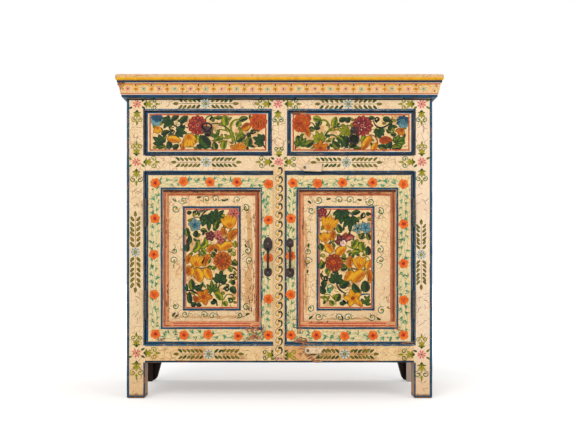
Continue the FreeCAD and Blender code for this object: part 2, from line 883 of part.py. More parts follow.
def door_pull(centre, upper, lower, face_y):
    """Forged pull: a plate above, a plate below and a thin bowed grip; and its nails."""
    x, middle_z = centre
    upper_width, upper_height = upper
    lower_width, lower_height = lower
    top_z = middle_z + pull_length / 2
    bottom_z = middle_z - pull_length / 2
    neck_top = top_z - upper_height
    neck_bottom = bottom_z + lower_height
    plates = [
        pull_plate(x, neck_top, upper_width, upper_height, face_y, 1),
        pull_plate(x, neck_bottom, lower_width, lower_height, face_y, -1),
    ]
    seat_y = face_y - pull_plate_thickness / 2
    half_chord = (neck_top - neck_bottom) / 2 + pull_grip_overlap
    radius = (half_chord ** 2 + pull_grip_reach ** 2) / (2 * pull_grip_reach)
    half_angle = math.asin(half_chord / radius)
    centre_z = (neck_top + neck_bottom) / 2
    centre_point = FreeCAD.Vector(x, seat_y - pull_grip_reach + radius, centre_z)
    start = FreeCAD.Vector(x, seat_y, centre_z + half_chord)
    tangent = FreeCAD.Vector(0, -math.cos(half_angle), -math.sin(half_angle))
    section = Part.Face(Part.Wire(Part.Circle(start, tangent, pull_grip_radius).toShape()))
    grip = section.revolve(centre_point, axis_x, math.degrees(2 * half_angle))
    behind = box(
        x - upper_width, x + upper_width, face_y, face_y + door_thickness, bottom_z, top_z
    )
    grip = grip.cut(behind)
    nails = [
        nail(x, neck_top + upper_height * plate_nail_share, face_y),
        nail(x, neck_bottom - lower_height * plate_nail_share, face_y),
    ]
    pull = cut_all(fused(plates + [grip]), nails)
    return pull, nails


def astragal():
    """The rounded cover strip on the meeting edge of the right door."""
    half = astragal_width / 2
    back_y = right_door_face_y
    edge_y = back_y - astragal_edge
    front_y = back_y - astragal_thickness

    def at(x, y):
        return FreeCAD.Vector(astragal_offset + x, y, astragal_bottom)

    back = Part.makeLine(at(half, back_y), at(-half, back_y))
    left = Part.makeLine(at(-half, back_y), at(-half, edge_y))
    round_front = Part.Arc(at(-half, edge_y), at(0, front_y), at(half, edge_y)).toShape()
    right = Part.makeLine(at(half, edge_y), at(half, back_y))
    section = Part.Face(Part.Wire([back, left, round_front, right]))
    strip = section.extrude(FreeCAD.Vector(0, 0, astragal_top - astragal_bottom))

    def upright_end(place):
        at_end = min(abs(place.z - astragal_bottom), abs(place.z - astragal_top)) < board_clearance
        return at_end and abs(abs(place.x - astragal_offset) - half) < board_clearance

    return strip.makeFillet(astragal_round, edges_where(strip, upright_end))


def door(face_y, field_shift, pull_centre, pull_upper, pull_lower, hinges):
    """The pieces of the right door; the left one is its mirror image."""
    inner_x0 = door_inner_x + door_meeting_width
    inner_x1 = door_outer_x - door_member_width
    inner_z0 = door_z0 + door_member_width
    inner_z1 = door_z1 - door_member_width
    rear_face_y = face_y + door_thickness
    panel = door_panel(inner_x0, inner_x1, inner_z0, inner_z1, face_y, field_shift)
    middle_y = face_y + panel_margin_depth + panel_tongue_thickness / 2
    rails = []
    tenons = []
    for z0, z1 in ((door_z0, inner_z0), (inner_z1, door_z1)):
        rail = box(inner_x0, inner_x1, face_y, rear_face_y, z0, z1)
        ends = []
        for x0, x1 in ((inner_x0 - door_tenon_length, inner_x0), (inner_x1, inner_x1 + door_tenon_length)):
            ends.append(
                box(
                    x0,
                    x1,
                    middle_y - door_tenon_thickness / 2,
                    middle_y + door_tenon_thickness / 2,
                    z0 + door_tenon_shoulder,
                    z1 - door_tenon_shoulder,
                )
            )
        rails.append(fused([rail] + ends).cut(panel))
        tenons.extend(ends)
    pull, nails = door_pull(pull_centre, pull_upper, pull_lower, face_y)
    screws = [screw for piece in hinges for screw in piece["door_screws"]]
    meeting = box(door_inner_x, inner_x0, face_y, rear_face_y, door_z0, door_z1)
    hanging = box(inner_x1, door_outer_x, face_y, rear_face_y, door_z0, door_z1)
    meeting = cut_all(meeting, [panel] + tenons + nails)
    hanging = cut_all(hanging, [panel] + tenons + screws)
    return {
        "meeting_stile": [meeting],
        "hinge_stile": [hanging],
        "rails": rails,
        "panel": [panel],
        "moulding": door_moulding(inner_x0, inner_x1, inner_z0, inner_z1, face_y),
        "pull": [pull],
        "hinge_leaves": [piece["door_leaf"] for piece in hinges],
        "fasteners": screws + nails,
    }


# Turn-buttons


def turn_button(pivot, length, width, tip_width, tip_slant):
    """A flat wooden catch that points to the right from its screw."""
    x, z = pivot
    y0 = frame_y - button_stand_off - button_thickness
    y1 = frame_y - button_stand_off
    half = width / 2
    half_tip = tip_width / 2
    blade = prism_xz(
        [
            (x, z - half),
            (x + length - tip_slant, z - half_tip),
            (x + length, z + half_tip),
            (x, z + half),
        ],
        y0,
        y1,
    )
    head = cylinder(half, button_thickness, FreeCAD.Vector(x, y0, z), axis_y)
    bore_start = FreeCAD.Vector(x, y0 - overrun, z)
    bore_length = button_thickness + 2 * overrun
    bore = cylinder(button_screw_radius + button_running_clearance, bore_length, bore_start, axis_y)
    return fused([blade, head]).cut(bore)


def turn_button_fixing(pivot):
    """The screw that a turn-button turns on, and the washer behind it."""
    x, z = pivot
    button_front_y = frame_y - button_stand_off - button_thickness
    head_y = button_front_y - button_screw_grip - button_screw_head_height
    head = cylinder(button_screw_head_radius, button_screw_head_height, FreeCAD.Vector(x, head_y, z), axis_y)
    shank = cylinder(
        button_screw_radius, frame_y + button_screw_depth - head_y, FreeCAD.Vector(x, head_y, z), axis_y
    )
    screw = fused([head, shank])
    washer_start = FreeCAD.Vector(x, frame_y - button_washer_thickness, z)
    washer = cylinder(button_washer_radius, button_washer_thickness, washer_start, axis_y)
    return screw, washer.cut(shank)


def build():
    os.makedirs("parts", exist_ok=True)
    front = frame_y
    rail_rear = frame_y + rail_thickness

    hinges = [hinge(height) for height in hinge_centres]
    frame_screws = [screw for piece in hinges for screw in piece["frame_screws"]]
    button_screws = []
    washers = []
    for pivot in (top_button_pivot, bottom_button_pivot):
        screw, washer = turn_button_fixing(pivot)
        button_screws.append(screw)
        washers.append(washer)

    top_rail, top_tenons = rail_along_x(
        -post_inner_x, post_inner_x, front, rail_rear, drawer_opening_top, top_underside
    )
    middle_rail, middle_tenons = rail_along_x(
        -post_inner_x, post_inner_x, front, rail_rear, door_opening_top, middle_rail_top
    )
    bottom_rail, bottom_tenons = rail_along_x(
        -post_inner_x, post_inner_x, front, rail_rear, leg_height, bottom_rail_top
    )
    dust_board = inside_board(
        rail_rear - groove_depth, back_boards_y, dust_board_underside, dust_board_top
    )
    divider_tenon = box(
        -tenon_thickness,
        tenon_thickness,
        front + (rail_thickness - tenon_thickness) / 2,
        front + (rail_thickness + tenon_thickness) / 2,
        middle_rail_top - dust_board_drop + tenon_shoulder / 2,
        drawer_opening_top + tenon_shoulder * 2,
    )
    divider_block = box(-half_divider, half_divider, front, rail_rear, middle_rail_top, drawer_opening_top)
    divider = fused([divider_block, divider_tenon])
    write("top_front_rail", [top_rail.cut(divider_tenon)])
    write("middle_front_rail", [cut_all(middle_rail, [dust_board, divider_tenon, button_screws[0]])])
    write("bottom_front_rail", [bottom_rail.cut(button_screws[1])])
    write("drawer_divider", [divider])

    rear_levels = (
        (leg_height, bottom_rail_top),
        (dust_board_underside - rear_middle_rail_height, dust_board_underside),
        (drawer_opening_top, top_underside),
    )
    rear_rails = []
    rear_tenons = []
    for z0, z1 in rear_levels:
        # The middle rail is too shallow for shoulders, so it butts against the posts
        if z1 - z0 > 2 * tenon_shoulder + tenon_thickness:
            rail, tenons = rail_along_x(-post_inner_x, post_inner_x, rear_rail_y, back_boards_y, z0, z1)
            rear_tenons.extend(tenons)
        else:
            rail = box(-post_inner_x, post_inner_x, rear_rail_y, back_boards_y, z0, z1)
        rear_rails.append(rail)
    write("rear_rails", rear_rails)

    panel = side_panel()
    lower_rail, lower_tenons = side_rail(leg_height, bottom_rail_top)
    upper_rail, upper_tenons = side_rail(drawer_opening_top, top_underside)
    side_rails = [lower_rail.cut(panel), upper_rail.cut(panel)]
    write("side_rails", side_rails + [mirrored(rail) for rail in side_rails])
    write("side_panels", [panel, mirrored(panel)])

    front_cuts = top_tenons + middle_tenons + bottom_tenons + lower_tenons + upper_tenons + [panel]
    front_cuts = front_cuts + frame_screws
    rear_cuts = rear_tenons + lower_tenons + upper_tenons + [panel]
    right_front_post = cut_all(front_post(), front_cuts)
    right_rear_post = cut_all(rear_post(), rear_cuts)
    write("front_right_post", [right_front_post])
    write("front_left_post", [mirrored(right_front_post)])
    write("rear_right_post", [right_rear_post])
    write("rear_left_post", [mirrored(right_rear_post)])
    bracket = rear_leg_bracket()
    write("rear_leg_brackets", [bracket, mirrored(bracket)])

    write("back_boards", back_boards())
    floor_front_y = frame_y + door_thickness + door_stop_gap
    cupboard_floor = inside_board(
        floor_front_y, back_boards_y, bottom_rail_top, bottom_rail_top + floor_thickness
    )
    write("cupboard_floor", [cupboard_floor])
    write("dust_board", [dust_board])
    head_stop = box(
        -post_inner_x + board_clearance, post_inner_x - board_clearance, floor_front_y,
        floor_front_y + head_stop_depth, door_opening_top - head_stop_height, door_opening_top,
    )
    write("door_head_stop", [head_stop])
    shelf_underside = shelf_top - shelf_thickness
    write("shelf", [inside_board(frame_y + shelf_setback, back_boards_y, shelf_underside, shelf_top)])
    cleat = box(
        side_panel_inner_x - cleat_size, side_panel_inner_x, post_rear_of_front_y, post_front_of_rear_y,
        shelf_underside - cleat_height, shelf_underside,
    )
    write("shelf_cleats", [cleat, mirrored(cleat)])

    runners, guides, kickers = drawer_slides()
    write("drawer_runners", runners)
    write("drawer_guides", guides)
    write("drawer_kickers", kickers)

    write("top_board", [top_board()])
    frieze_front, frieze_right, frieze_left = cornice_strips(frieze_section)
    write("front_frieze", [frieze_front])
    write("side_friezes", [frieze_right, frieze_left])
    write("cornice_fillets", cornice_strips(fillet_section))
    write("cornice_beads", cornice_strips(bead_section))

    frame_leaves = [piece["frame_leaf"] for piece in hinges]
    pins = [piece["pin"] for piece in hinges]
    write("frame_hinge_leaves", frame_leaves + [mirrored(leaf) for leaf in frame_leaves])
    write("hinge_pins", pins + [mirrored(pin) for pin in pins])
    write("frame_screws", frame_screws + [mirrored(screw) for screw in frame_screws] + button_screws + washers)

    right_door = door(
        right_door_face_y, right_field_shift, right_pull_centre, right_pull_upper, right_pull_lower, hinges
    )
    for name, shapes in right_door.items():
        write("right_door_" + name, shapes)
    write("right_door_astragal", [astragal()])
    left_door = door(left_door_face_y, 0, left_pull_centre, left_pull_upper, left_pull_lower, hinges)
    for name, shapes in left_door.items():
        write("left_door_" + name, [mirrored(shape) for shape in shapes])

    drawers = (("left", -1, left_ring_pivot, ring_raised_angle), ("right", 1, right_ring_pivot, 0))
    for side, sign, pivot, angle in drawers:
        pieces = drawer(sign)
        bracket, stud = ring_pull_bracket(pivot)
        pieces["front"] = [pieces["front"][0].cut(stud)]
        for name, shapes in pieces.items():
            write(side + "_drawer_" + name, shapes)
        write(side + "_ring_bracket", bracket)
        write(side + "_ring", [ring_pull(pivot, angle)])

    top_button = turn_button(
        top_button_pivot, top_button_length, top_button_width, top_button_tip_width, top_button_tip_slant
    )
    bottom_button = turn_button(
        bottom_button_pivot,
        bottom_button_length,
        bottom_button_width,
        bottom_button_tip_width,
        bottom_button_tip_slant,
    )
    write("top_turn_button", [top_button])
    write("bottom_turn_button", [bottom_button])


build()
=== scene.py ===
import math
import random

import bmesh
import bpy
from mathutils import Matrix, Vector


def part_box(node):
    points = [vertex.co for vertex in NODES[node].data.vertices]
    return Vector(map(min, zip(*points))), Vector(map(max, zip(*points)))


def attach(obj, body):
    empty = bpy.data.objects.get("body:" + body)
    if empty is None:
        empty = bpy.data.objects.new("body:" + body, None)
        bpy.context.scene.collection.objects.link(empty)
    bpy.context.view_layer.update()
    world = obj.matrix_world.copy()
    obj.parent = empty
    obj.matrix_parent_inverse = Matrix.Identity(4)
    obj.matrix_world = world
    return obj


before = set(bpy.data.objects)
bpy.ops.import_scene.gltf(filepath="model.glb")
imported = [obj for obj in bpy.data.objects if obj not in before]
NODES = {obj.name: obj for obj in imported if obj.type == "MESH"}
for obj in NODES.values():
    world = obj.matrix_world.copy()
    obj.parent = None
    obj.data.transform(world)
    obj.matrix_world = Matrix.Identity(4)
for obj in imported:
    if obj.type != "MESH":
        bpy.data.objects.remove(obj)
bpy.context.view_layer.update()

MM = 0.001

# Places in the photograph: pixels become millimetres through the camera's distance

EYE_DISTANCE = 2300.0
EYE_HEIGHT = 373.0
MM_PER_PIXEL = 2.755
MIDDLE_PX = 279.5
HORIZON_PX = 263.0
FRAME_Y = -169.239
DRAWER_Y = FRAME_Y + 6.0
LEFT_DOOR_Y = FRAME_Y
RIGHT_DOOR_Y = FRAME_Y - 0.8


def scale_at(y):
    """Millimetres to one pixel in the plane y."""
    return MM_PER_PIXEL * (EYE_DISTANCE + y - FRAME_Y) / EYE_DISTANCE


def photo_mm(px, py, y):
    """The x and z, in mm, of a photograph pixel that lies in the plane y."""
    scale = scale_at(y)
    return (px - MIDDLE_PX) * scale, EYE_HEIGHT + (HORIZON_PX - py) * scale


# Nodes

def linear(r, g, b):
    """A colour seen as 0-255 values, as Blender's linear numbers."""
    values = [v / 255.0 for v in (r, g, b)]
    return tuple(v / 12.92 if v <= 0.04045 else ((v + 0.055) / 1.055) ** 2.4 for v in values) + (1.0,)


def fill(tree, node, inputs):
    """Give sockets a value, or a link from another node's output."""
    for socket, value in inputs.items():
        if hasattr(value, "links"):
            tree.links.new(value, node.inputs[socket])
        else:
            node.inputs[socket].default_value = value


def add_node(tree, kind, inputs={}, **settings):
    node = tree.nodes.new(kind)
    for key, value in settings.items():
        setattr(node, key, value)
    fill(tree, node, inputs)
    return node


def empty_tree(owner):
    owner.use_nodes = True
    owner.node_tree.nodes.clear()
    return owner.node_tree


def seen_directly(tree):
    """1 for the camera's own rays and for those that reach it by a mirror or through glass."""
    rays = add_node(tree, "ShaderNodeLightPath").outputs
    pair = {0: rays["Is Camera Ray"], 1: rays["Is Glossy Ray"]}
    first = add_node(tree, "ShaderNodeMath", pair, operation="MAXIMUM").outputs[0]
    pair = {0: first, 1: rays["Is Transmission Ray"]}
    return add_node(tree, "ShaderNodeMath", pair, operation="MAXIMUM").outputs[0]


# Camera, light, floor

def add_camera():
    data = bpy.data.cameras.new("camera")
    data.sensor_width = 36.0
    data.lens = 52.1
    data.shift_x = 0.0156
    data.shift_y = 0.0789
    camera = bpy.data.objects.new("camera", data)
    camera.location = (0.0, (FRAME_Y - EYE_DISTANCE) * MM, EYE_HEIGHT * MM)
    camera.rotation_euler = (math.radians(90.0), 0.0, 0.0)
    bpy.context.scene.collection.objects.link(camera)
    bpy.context.scene.camera = camera


def add_lamp(name, place, target, size, power):
    data = bpy.data.lights.new(name, "AREA")
    data.shape = "DISK"
    data.size = size
    data.energy = power
    lamp = bpy.data.objects.new(name, data)
    lamp.location = place
    lamp.rotation_euler = (Vector(target) - Vector(place)).to_track_quat("-Z", "Y").to_euler()
    bpy.context.scene.collection.objects.link(lamp)


def add_world():
    world = bpy.data.worlds.new("studio")
    bpy.context.scene.world = world
    tree = empty_tree(world)
    soft = add_node(tree, "ShaderNodeBackground", {"Color": (1.0, 0.985, 0.965, 1.0), "Strength": 0.42})
    white = add_node(tree, "ShaderNodeBackground", {"Color": (1.0, 1.0, 1.0, 1.0), "Strength": 1.0})
    parts = {0: seen_directly(tree), 1: soft.outputs[0], 2: white.outputs[0]}
    blend = add_node(tree, "ShaderNodeMixShader", parts)
    add_node(tree, "ShaderNodeOutputWorld", {"Surface": blend.outputs[0]})


def add_floor():
    mesh = bpy.data.meshes.new("floor")
    reach = 12.0
    corners = [(-reach, -reach, 0), (reach, -reach, 0), (reach, reach, 0), (-reach, reach, 0)]
    mesh.from_pydata(corners, [], [(0, 1, 2, 3)])
    floor = bpy.data.objects.new("floor", mesh)
    bpy.context.scene.collection.objects.link(floor)
    material = bpy.data.materials.new("pale_floor")
    tree = empty_tree(material)
    matt = add_node(tree, "ShaderNodeBsdfDiffuse", {"Color": (0.8, 0.8, 0.8, 1.0)})
    place = add_node(tree, "ShaderNodeTexCoord").outputs["Object"]
    away = add_node(tree, "ShaderNodeVectorMath", {0: place}, operation="LENGTH").outputs["Value"]
    limits = {"Value": away, "From Min": 0.6, "From Max": 1.6, "To Min": 0.42, "To Max": 1.05}
    brighter = add_node(tree, "ShaderNodeMapRange", limits, interpolation_type="SMOOTHSTEP").outputs[0]
    pair = {0: seen_directly(tree), 1: brighter}
    strength = add_node(tree, "ShaderNodeMath", pair, operation="MULTIPLY").outputs[0]
    glow = add_node(tree, "ShaderNodeEmission", {"Color": (1.0, 1.0, 1.0, 1.0), "Strength": strength})
    both = add_node(tree, "ShaderNodeAddShader", {0: matt.outputs[0], 1: glow.outputs[0]})
    add_node(tree, "ShaderNodeOutputMaterial", {"Surface": both.outputs[0]})
    mesh.materials.append(material)


bpy.context.scene.view_settings.view_transform = "Standard"
add_camera()
add_world()
add_lamp("key", (-1.2, -3.2, 2.7), (0.0, -0.1, 0.45), 2.4, 66.0)
add_lamp("fill", (2.2, -2.6, 1.5), (0.0, -0.1, 0.45), 2.2, 24.0)
add_lamp("top", (0.2, 0.4, 3.0), (0.0, 0.0, 0.5), 2.0, 20.0)
add_floor()


# Material building blocks, all in object coordinates, so that they move with the piece

class Recipe:
    """A material whose nodes are added one at a time."""

    def __init__(self, name):
        self.material = bpy.data.materials.new(name)
        self.tree = empty_tree(self.material)
        self.shader = self.node("ShaderNodeBsdfPrincipled")
        self.node("ShaderNodeOutputMaterial", {"Surface": self.shader.outputs[0]})
        self.where = self.node("ShaderNodeTexCoord").outputs["Object"]

    def node(self, kind, inputs={}, **settings):
        return add_node(self.tree, kind, inputs, **settings)

    def stretched(self, scale):
        return self.node("ShaderNodeMapping", {"Vector": self.where, "Scale": scale}).outputs[0]

    def moved(self, *offset):
        return self.node("ShaderNodeMapping", {"Vector": self.where, "Location": offset}).outputs[0]

    def wavy(self, amount):
        """The place, pushed about a little, so that cracks wander."""
        push = self.node("ShaderNodeTexNoise", {"Vector": self.where, "Scale": 60.0}).outputs["Color"]
        size = self.node("ShaderNodeVectorMath", {0: push, "Scale": amount}, operation="SCALE").outputs[0]
        return self.node("ShaderNodeVectorMath", {0: self.where, 1: size}).outputs[0]

    def noise(self, scale, detail=3.0, rough=0.55, distortion=0.0, where=None):
        shape = {"Scale": scale, "Detail": detail, "Roughness": rough, "Distortion": distortion}
        return self.node("ShaderNodeTexNoise", {"Vector": where or self.where, **shape}).outputs[0]

    def cells(self, scale, feature="F1", where=None):
        inputs = {"Vector": where or self.where, "Scale": scale}
        return self.node("ShaderNodeTexVoronoi", inputs, feature=feature).outputs["Distance"]

    def between(self, value, low, high, to_low=0.0, to_high=1.0):
        limits = {"Value": value, "From Min": low, "From Max": high, "To Min": to_low, "To Max": to_high}
        return self.node("ShaderNodeMapRange", limits, interpolation_type="SMOOTHSTEP").outputs[0]

    def math(self, operation, a, b):
        clamp = operation in ("ADD", "SUBTRACT")
        return self.node("ShaderNodeMath", {0: a, 1: b}, operation=operation, use_clamp=clamp).outputs[0]

    def times(self, a, b):
        return self.math("MULTIPLY", a, b)

    def plus(self, a, b):
        return self.math("ADD", a, b)

    def less(self, a, b):
        return self.math("SUBTRACT", a, b)

    def most(self, a, b):
        return self.math("MAXIMUM", a, b)

    def mix(self, amount, a, b):
        """From the first colour to the second, each a node's output or 0-255 values."""
        a, b = (linear(*colour) if isinstance(colour, tuple) else colour for colour in (a, b))
        return self.node("ShaderNodeMix", {0: amount, 6: a, 7: b}, data_type="RGBA").outputs[2]

    def axis(self, which):
        return self.node("ShaderNodeSeparateXYZ", {0: self.where}).outputs[which]

    def facing(self, which):
        """How far the surface faces along one axis, from -1 to 1."""
        normal = self.node("ShaderNodeTexCoord").outputs["Normal"]
        return self.node("ShaderNodeSeparateXYZ", {0: normal}).outputs[which]

    def edges(self, radius):
        """1 on corners that a hand or cloth would rub."""
        soft = self.node("ShaderNodeBevel", {"Radius": radius}, samples=4).outputs[0]
        hard = self.node("ShaderNodeNewGeometry").outputs["True Normal"]
        dot = self.node("ShaderNodeVectorMath", {0: soft, 1: hard}, operation="DOT_PRODUCT")
        return self.between(self.less(1.0, dot.outputs["Value"]), 0.02, 0.22)

    def lip(self):
        """1 on the first part of the faces that turn in from the front, which the brush went over too."""
        aside = self.between(self.math("ABSOLUTE", self.facing(1), 0.0), 0.5, 0.3)
        return self.times(aside, self.between(self.axis(1), (FRAME_Y + 15.0) * MM, (FRAME_Y + 13.0) * MM))

    def inner_side(self):
        """1 on the side faces that look inwards, to the cabinet's middle."""
        return self.between(self.times(self.times(self.facing(0), self.axis(0)), -2.4), 0.4, 0.7)

    def bump(self, height, strength, distance):
        shape = {"Height": height, "Strength": strength, "Distance": distance}
        fill(self.tree, self.shader, {"Normal": self.node("ShaderNodeBump", shape).outputs[0]})

    def finish(self, colour, roughness, metallic=0.0, specular=0.22):
        fill(self.tree, self.shader, {"Base Color": colour, "Roughness": roughness})
        fill(self.tree, self.shader, {"Metallic": metallic, "Specular IOR Level": specular})
        return self.material


BARE = (134, 82, 48)
BARE_DARK = (92, 56, 38)
TAN = (222, 168, 104)
ROSY = (232, 190, 146)
BAND_LOW, BAND_HIGH = (0.8712, 0.8722), (0.8785, 0.8795)
RIM_HEIGHTS = (0.8858, 0.8878)


def aged_cream(name, light, tan, rosy, wear, patina, chips, cracks=0.6, feet=False, band=None, lip=False):
    """Old cream paint: blotches of varnish, fine cracks, specks, rubbed corners, chips down to the wood."""
    m = Recipe("cream_" + name)
    small = m.noise(46.0, 5.0, 0.62, 0.8)
    fine = m.noise(260.0, 3.0, 0.6)
    blotch = m.plus(m.times(m.noise(7.0, 3.0, 0.6, 0.6), 0.6), m.times(small, 0.4))
    colour = m.mix(m.between(blotch, 0.62 - 0.2 * patina, 0.78 - 0.2 * patina, 0.0, 0.85), light, tan)
    rose = m.between(m.noise(19.0, 4.0, 0.6, 0.4, m.moved(3.1, 1.7, 0.4)), 0.5, 0.68, 0.0, 0.5)
    colour = m.mix(rose, colour, rosy)
    colour = m.mix(m.between(fine, 0.3, 0.72, 0.0, 0.28), colour, tan)
    zone = m.noise(9.0, 2.0, 0.5, 0.0, m.moved(0.7, 5.2, 2.4))
    wide = m.between(m.cells(58.0, "DISTANCE_TO_EDGE", m.wavy(0.012)), 0.008, 0.04, 1.0, 0.0)
    narrow = m.between(m.cells(150.0, "DISTANCE_TO_EDGE", m.wavy(0.006)), 0.01, 0.07, 0.5, 0.0)
    crack = m.most(m.times(wide, m.between(zone, 0.42, 0.56)), m.times(narrow, m.between(zone, 0.56, 0.44)))
    colour = m.mix(m.times(crack, cracks), colour, BARE)
    speck = m.between(m.cells(120.0, "F1", m.moved(1.3, 2.2, 7.1)), 0.1, 0.17, 1.0, 0.0)
    rare = m.between(m.noise(75.0, 2.0, 0.5, 0.0, m.moved(8.0, 0.3, 1.1)), 0.55, 0.63)
    colour = m.mix(m.times(m.times(speck, rare), 0.6), colour, BARE_DARK)
    torn = m.between(m.noise(58.0, 4.0, 0.65, 0.5, m.moved(2.2, 9.4, 4.4)), 0.46, 0.58)
    rubbed = m.times(m.times(m.edges(0.0035), torn), 0.75 * wear)
    flake = m.noise(24.0, 5.0, 0.62, 0.9, m.moved(5.0, 6.0, 3.3))
    chip = m.between(flake, 0.74 - 0.08 * chips, 0.77 - 0.08 * chips)
    bare = m.most(rubbed, m.times(chip, 0.85))
    if band:
        height = m.axis(2)
        along = m.times(m.between(height, *reversed(BAND_HIGH)), m.between(height, *BAND_LOW))
        colour = m.mix(along, colour, m.mix(m.between(small, 0.35, 0.65), *band))
        front = m.between(m.axis(1), (FRAME_Y - 38.0) * MM, (FRAME_Y - 39.0) * MM)
        rim = m.times(m.between(height, *RIM_HEIGHTS), front)
        colour = m.mix(m.times(rim, m.between(small, 0.38, 0.56, 0.25, 0.9)), colour, BARE)
    if lip:
        paint = m.mix(m.between(small, 0.4, 0.62), (16, 60, 88), (12, 32, 48))
        colour = m.mix(m.lip(), colour, paint)
    if feet:
        # The right front post is made paler than the left: painted light on that side of the cabinet
        colour = m.mix(m.between(m.axis(0), 0.36, 0.38, 0.0, 0.45), colour, (255, 230, 206))
        colour = m.mix(m.times(m.inner_side(), 0.72), colour, BARE)
        low = m.between(m.axis(2), 0.03, 0.0)
        foot = m.between(m.plus(low, m.times(m.less(small, 0.5), 1.4)), 0.5, 0.9)
        colour = m.mix(m.between(m.axis(2), 0.16, 0.02, 0.0, 0.42), colour, tan)
        bare = m.most(bare, m.times(foot, 0.8))
    colour = m.mix(bare, colour, m.mix(fine, BARE_DARK, BARE))
    raised = m.plus(m.times(small, 0.5), m.times(fine, 0.25))
    sunk = m.plus(m.times(crack, 0.3), m.times(bare, 0.25))
    m.bump(m.less(raised, sunk), 0.35, 0.0012)
    return m.finish(colour, m.between(blotch, 0.3, 0.7, 0.62, 0.46))


def worn_paint(name, main, second, under, wear, rough=0.5):
    """A strongly coloured old paint, rubbed through in places to what is under it."""
    m = Recipe(name)
    cloud = m.noise(34.0, 4.0, 0.6, 0.5)
    fine = m.noise(210.0, 4.0, 0.65)
    colour = m.mix(m.between(cloud, 0.32, 0.66), main, second)
    patchy = m.noise(52.0, 5.0, 0.66, 0.4, m.moved(4.0, 2.5, 6.0))
    thin = m.plus(m.times(patchy, 0.7), m.times(fine, 0.3))
    gone = m.between(thin, 0.68 - 0.14 * wear, 0.76 - 0.14 * wear, 0.0, 0.8)
    edge = m.times(m.edges(0.002), m.between(cloud, 0.44, 0.6, 0.0, 0.7 * wear + 0.1))
    colour = m.mix(m.most(gone, edge), colour, under)
    m.bump(m.plus(m.times(fine, 0.4), m.times(cloud, 0.4)), 0.3, 0.0008)
    return m.finish(colour, m.between(fine, 0.3, 0.7, rough - 0.06, rough + 0.08))


def bare_wood(name, light, dark, along, front=None):
    """Unpainted boards with grain along one axis; a leg may have a paler front below the carcase."""
    m = Recipe(name)
    scale = [1.0, 1.0, 1.0]
    scale[along] = 0.07
    where = m.stretched(scale)
    rings = m.noise(42.0, 4.0, 0.6, 1.6, where)
    pores = m.noise(330.0, 3.0, 0.7, 0.2, where)
    colour = m.mix(m.between(rings, 0.34, 0.64), light, dark)
    colour = m.mix(m.between(pores, 0.55, 0.75, 0.0, 0.5), colour, dark)
    colour = m.mix(m.between(m.noise(5.0, 2.0, 0.5, 0.3), 0.35, 0.7, 0.0, 0.35), colour, dark)
    if front:
        below = m.between(m.axis(2), 0.11, 0.1)
        colour = m.mix(m.times(m.between(m.facing(1), -0.4, -0.7), below), colour, front)
    m.bump(m.plus(m.times(rings, 0.4), m.times(pores, 0.5)), 0.4, 0.001)
    return m.finish(colour, m.between(pores, 0.3, 0.7, 0.62, 0.8))


def forged_iron(name, dark, brown, light):
    """Hammered, blackened iron with rubbed highlights and a little rust."""
    m = Recipe(name)
    dents = m.noise(95.0, 3.0, 0.5, 0.2)
    fine = m.noise(420.0, 4.0, 0.65)
    colour = m.mix(m.between(m.noise(60.0, 4.0, 0.6, 0.6), 0.42, 0.66), dark, brown)
    colour = m.mix(m.times(m.edges(0.0012), 0.6), colour, light)
    m.bump(m.plus(m.times(dents, 0.7), m.times(fine, 0.2)), 0.6, 0.0012)
    return m.finish(colour, m.between(fine, 0.3, 0.7, 0.36, 0.58), 0.55, 0.5)


def ink(name, main, second, under, wear):
    """A painted colour with brush clouds, rubbed thin in specks."""
    m = Recipe("paint_" + name)
    cloud = m.noise(90.0, 3.0, 0.6, 0.4)
    fine = m.noise(480.0, 3.0, 0.65, 0.0, m.moved(2.0, 5.0, 1.0))
    colour = m.mix(m.between(cloud, 0.34, 0.66), main, second)
    thin = m.plus(m.times(cloud, 0.45), m.times(fine, 0.55))
    colour = m.mix(m.between(thin, 0.66 - 0.16 * wear, 0.72 - 0.12 * wear, 0.0, 0.75), colour, under)
    m.bump(fine, 0.2, 0.0005)
    return m.finish(colour, m.between(fine, 0.3, 0.7, 0.42, 0.6))


